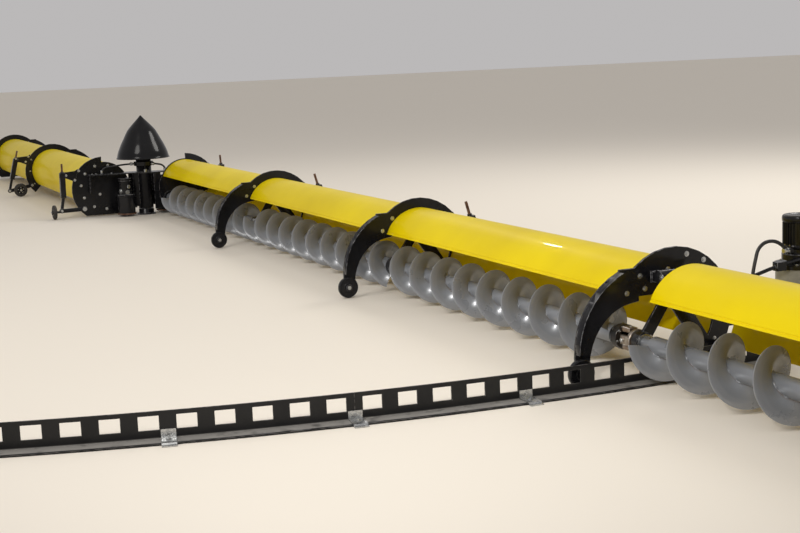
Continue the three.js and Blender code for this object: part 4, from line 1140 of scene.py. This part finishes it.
# Painted shade: the outer edge of the foot is kept black, standing in for the shade on its side, so no dust
# is laid there.
rail_shade_gate = ranged(tree, rail_out.outputs["Value"], 9.05, 9.042)
rail_strip = times(tree, rail_low, rail_shade_gate)
rail_break = noise_over(tree, 13, 7)
rail_share = ranged(tree, rail_break.outputs["Fac"], 0.2, 0.45)
rail_trodden = times(tree, rail_strip, rail_share)
rail_colour = laid_over(tree, rail_trodden, coat, (0.34, 0.325, 0.3))
tree.links.new(rail_colour, shader.inputs["Base Color"])
rail_gloss = ranged(tree, rail_trodden, 0, 1, 0.28, 0.85)
tree.links.new(rail_gloss, shader.inputs["Roughness"])

rail_inner = 8.965
rail_leg = 8.973
rail_foot = 9.063
rail_high = 0.127
foot_high = 0.008
slot_low, slot_high = 0.045, 0.107
slot_half = 0.0435
slots_a_rail = 10
slots_round = 350
slot_turn = 2 * math.pi / slots_round
# the rails start this many slots round from +X
first_slot = 5 * -3.574


def rail_shell(first, slots):
    """The leg as two skins round its slots, and the foot below it."""
    turns = [first * slot_turn]
    for k in range(slots):
        middle = (first + k + 0.5) * slot_turn
        turns += [middle - slot_half / rail_inner, middle + slot_half / rail_inner]
    turns.append((first + slots) * slot_turn)
    levels = [0.0, foot_high, slot_low, slot_high, rail_high]
    skin, leg, foot = rail_inner, rail_leg, rail_foot
    made = bmesh.new()
    verts = {}

    def face(*corners):
        """Corners are turn, radius and height. Faces that meet share their verts."""
        ring = []
        for a, r, z in corners:
            spot = (r * math.cos(a), r * math.sin(a), z)
            key = tuple(round(v, 6) for v in spot)
            if key not in verts:
                verts[key] = made.verts.new(spot)
            ring.append(verts[key])
        made.faces.new(ring)

    last = len(turns) - 1
    for i in range(last):
        a, b = turns[i], turns[i + 1]
        for j in range(len(levels) - 1):
            low, high = levels[j], levels[j + 1]
            if i % 2 == 1 and low == slot_low:
                face((a, skin, low), (b, skin, low), (b, leg, low), (a, leg, low))
                face((a, skin, high), (a, leg, high), (b, leg, high), (b, skin, high))
                continue
            face((a, skin, low), (b, skin, low), (b, skin, high), (a, skin, high))
            if j > 0:
                face((b, leg, low), (a, leg, low), (a, leg, high), (b, leg, high))
        face((a, skin, rail_high), (b, skin, rail_high), (b, leg, rail_high), (a, leg, rail_high))
        face((a, leg, foot_high), (b, leg, foot_high), (b, foot, foot_high), (a, foot, foot_high))
        face((a, foot, 0), (a, foot, foot_high), (b, foot, foot_high), (b, foot, 0))
        face((b, skin, 0), (a, skin, 0), (a, leg, 0), (b, leg, 0))
        face((b, leg, 0), (a, leg, 0), (a, foot, 0), (b, foot, 0))
    for i, a in enumerate(turns):
        if 0 < i < last:
            face((a, skin, slot_low), (a, leg, slot_low), (a, leg, slot_high), (a, skin, slot_high))
            continue
        for low, high in zip(levels, levels[1:]):
            face((a, skin, low), (a, leg, low), (a, leg, high), (a, skin, high))
        face((a, leg, 0), (a, foot, 0), (a, foot, foot_high), (a, leg, foot_high))
    bmesh.ops.recalc_face_normals(made, faces=made.faces)
    return made


for number in (1, 2, 3):
    made = rail_shell(first_slot + slots_a_rail * (number - 1), slots_a_rail)
    chamfered(made, 0.0012)
    rail = from_bmesh(f"rail_{number}", made, rail_enamel, 36)
    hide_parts(f"track_{number}")
    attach(rail, "floor_parts")

clip_outline = [
    (0, 0.0083), (0.089, 0.0083), (0.095, 0.006), (0.097, 0.0005), (0.122, 0.0005), (0.122, 0.0055),
    (0.102, 0.006), (0.098, 0.0125), (0.09, 0.0143), (0.006, 0.0143), (0.005, 0.048), (0, 0.048)]
clip_half, clip_top = 0.032, 0.0143
clip_bolts = []
clip_verts, clip_faces = [], []
for k in range(7):
    a = slot_turn * (first_slot + 5 * k)
    if k in (0, 6):
        a += slot_turn * (0.25 if k == 0 else -0.25)
    out = Vector((math.cos(a), math.sin(a), 0))
    way = Vector((math.sin(a), -math.cos(a), 0))
    place = lambda x, y, z: tuple(out * (rail_leg + 0.0003 + y) + way * x + Vector((0, 0, z)))
    verts, faces = prism(clip_outline, -clip_half, clip_half, place)
    clip_faces += [tuple(len(clip_verts) + index for index in face) for face in faces]
    clip_verts += verts
    clip_bolts.append((place(0, 0.05, clip_top), (0, 0, 1), 1.15))
    clip_bolts.append((place(0, 0.0053, 0.034), tuple(out), 0.6))
clips = cut_piece("rail_clips", clip_verts, clip_faces, 0.001, galvanised)
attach(clips, "floor_parts")
clip_heads = bolts("rail_clip_bolts", clip_bolts)
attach(clip_heads, "floor_parts")
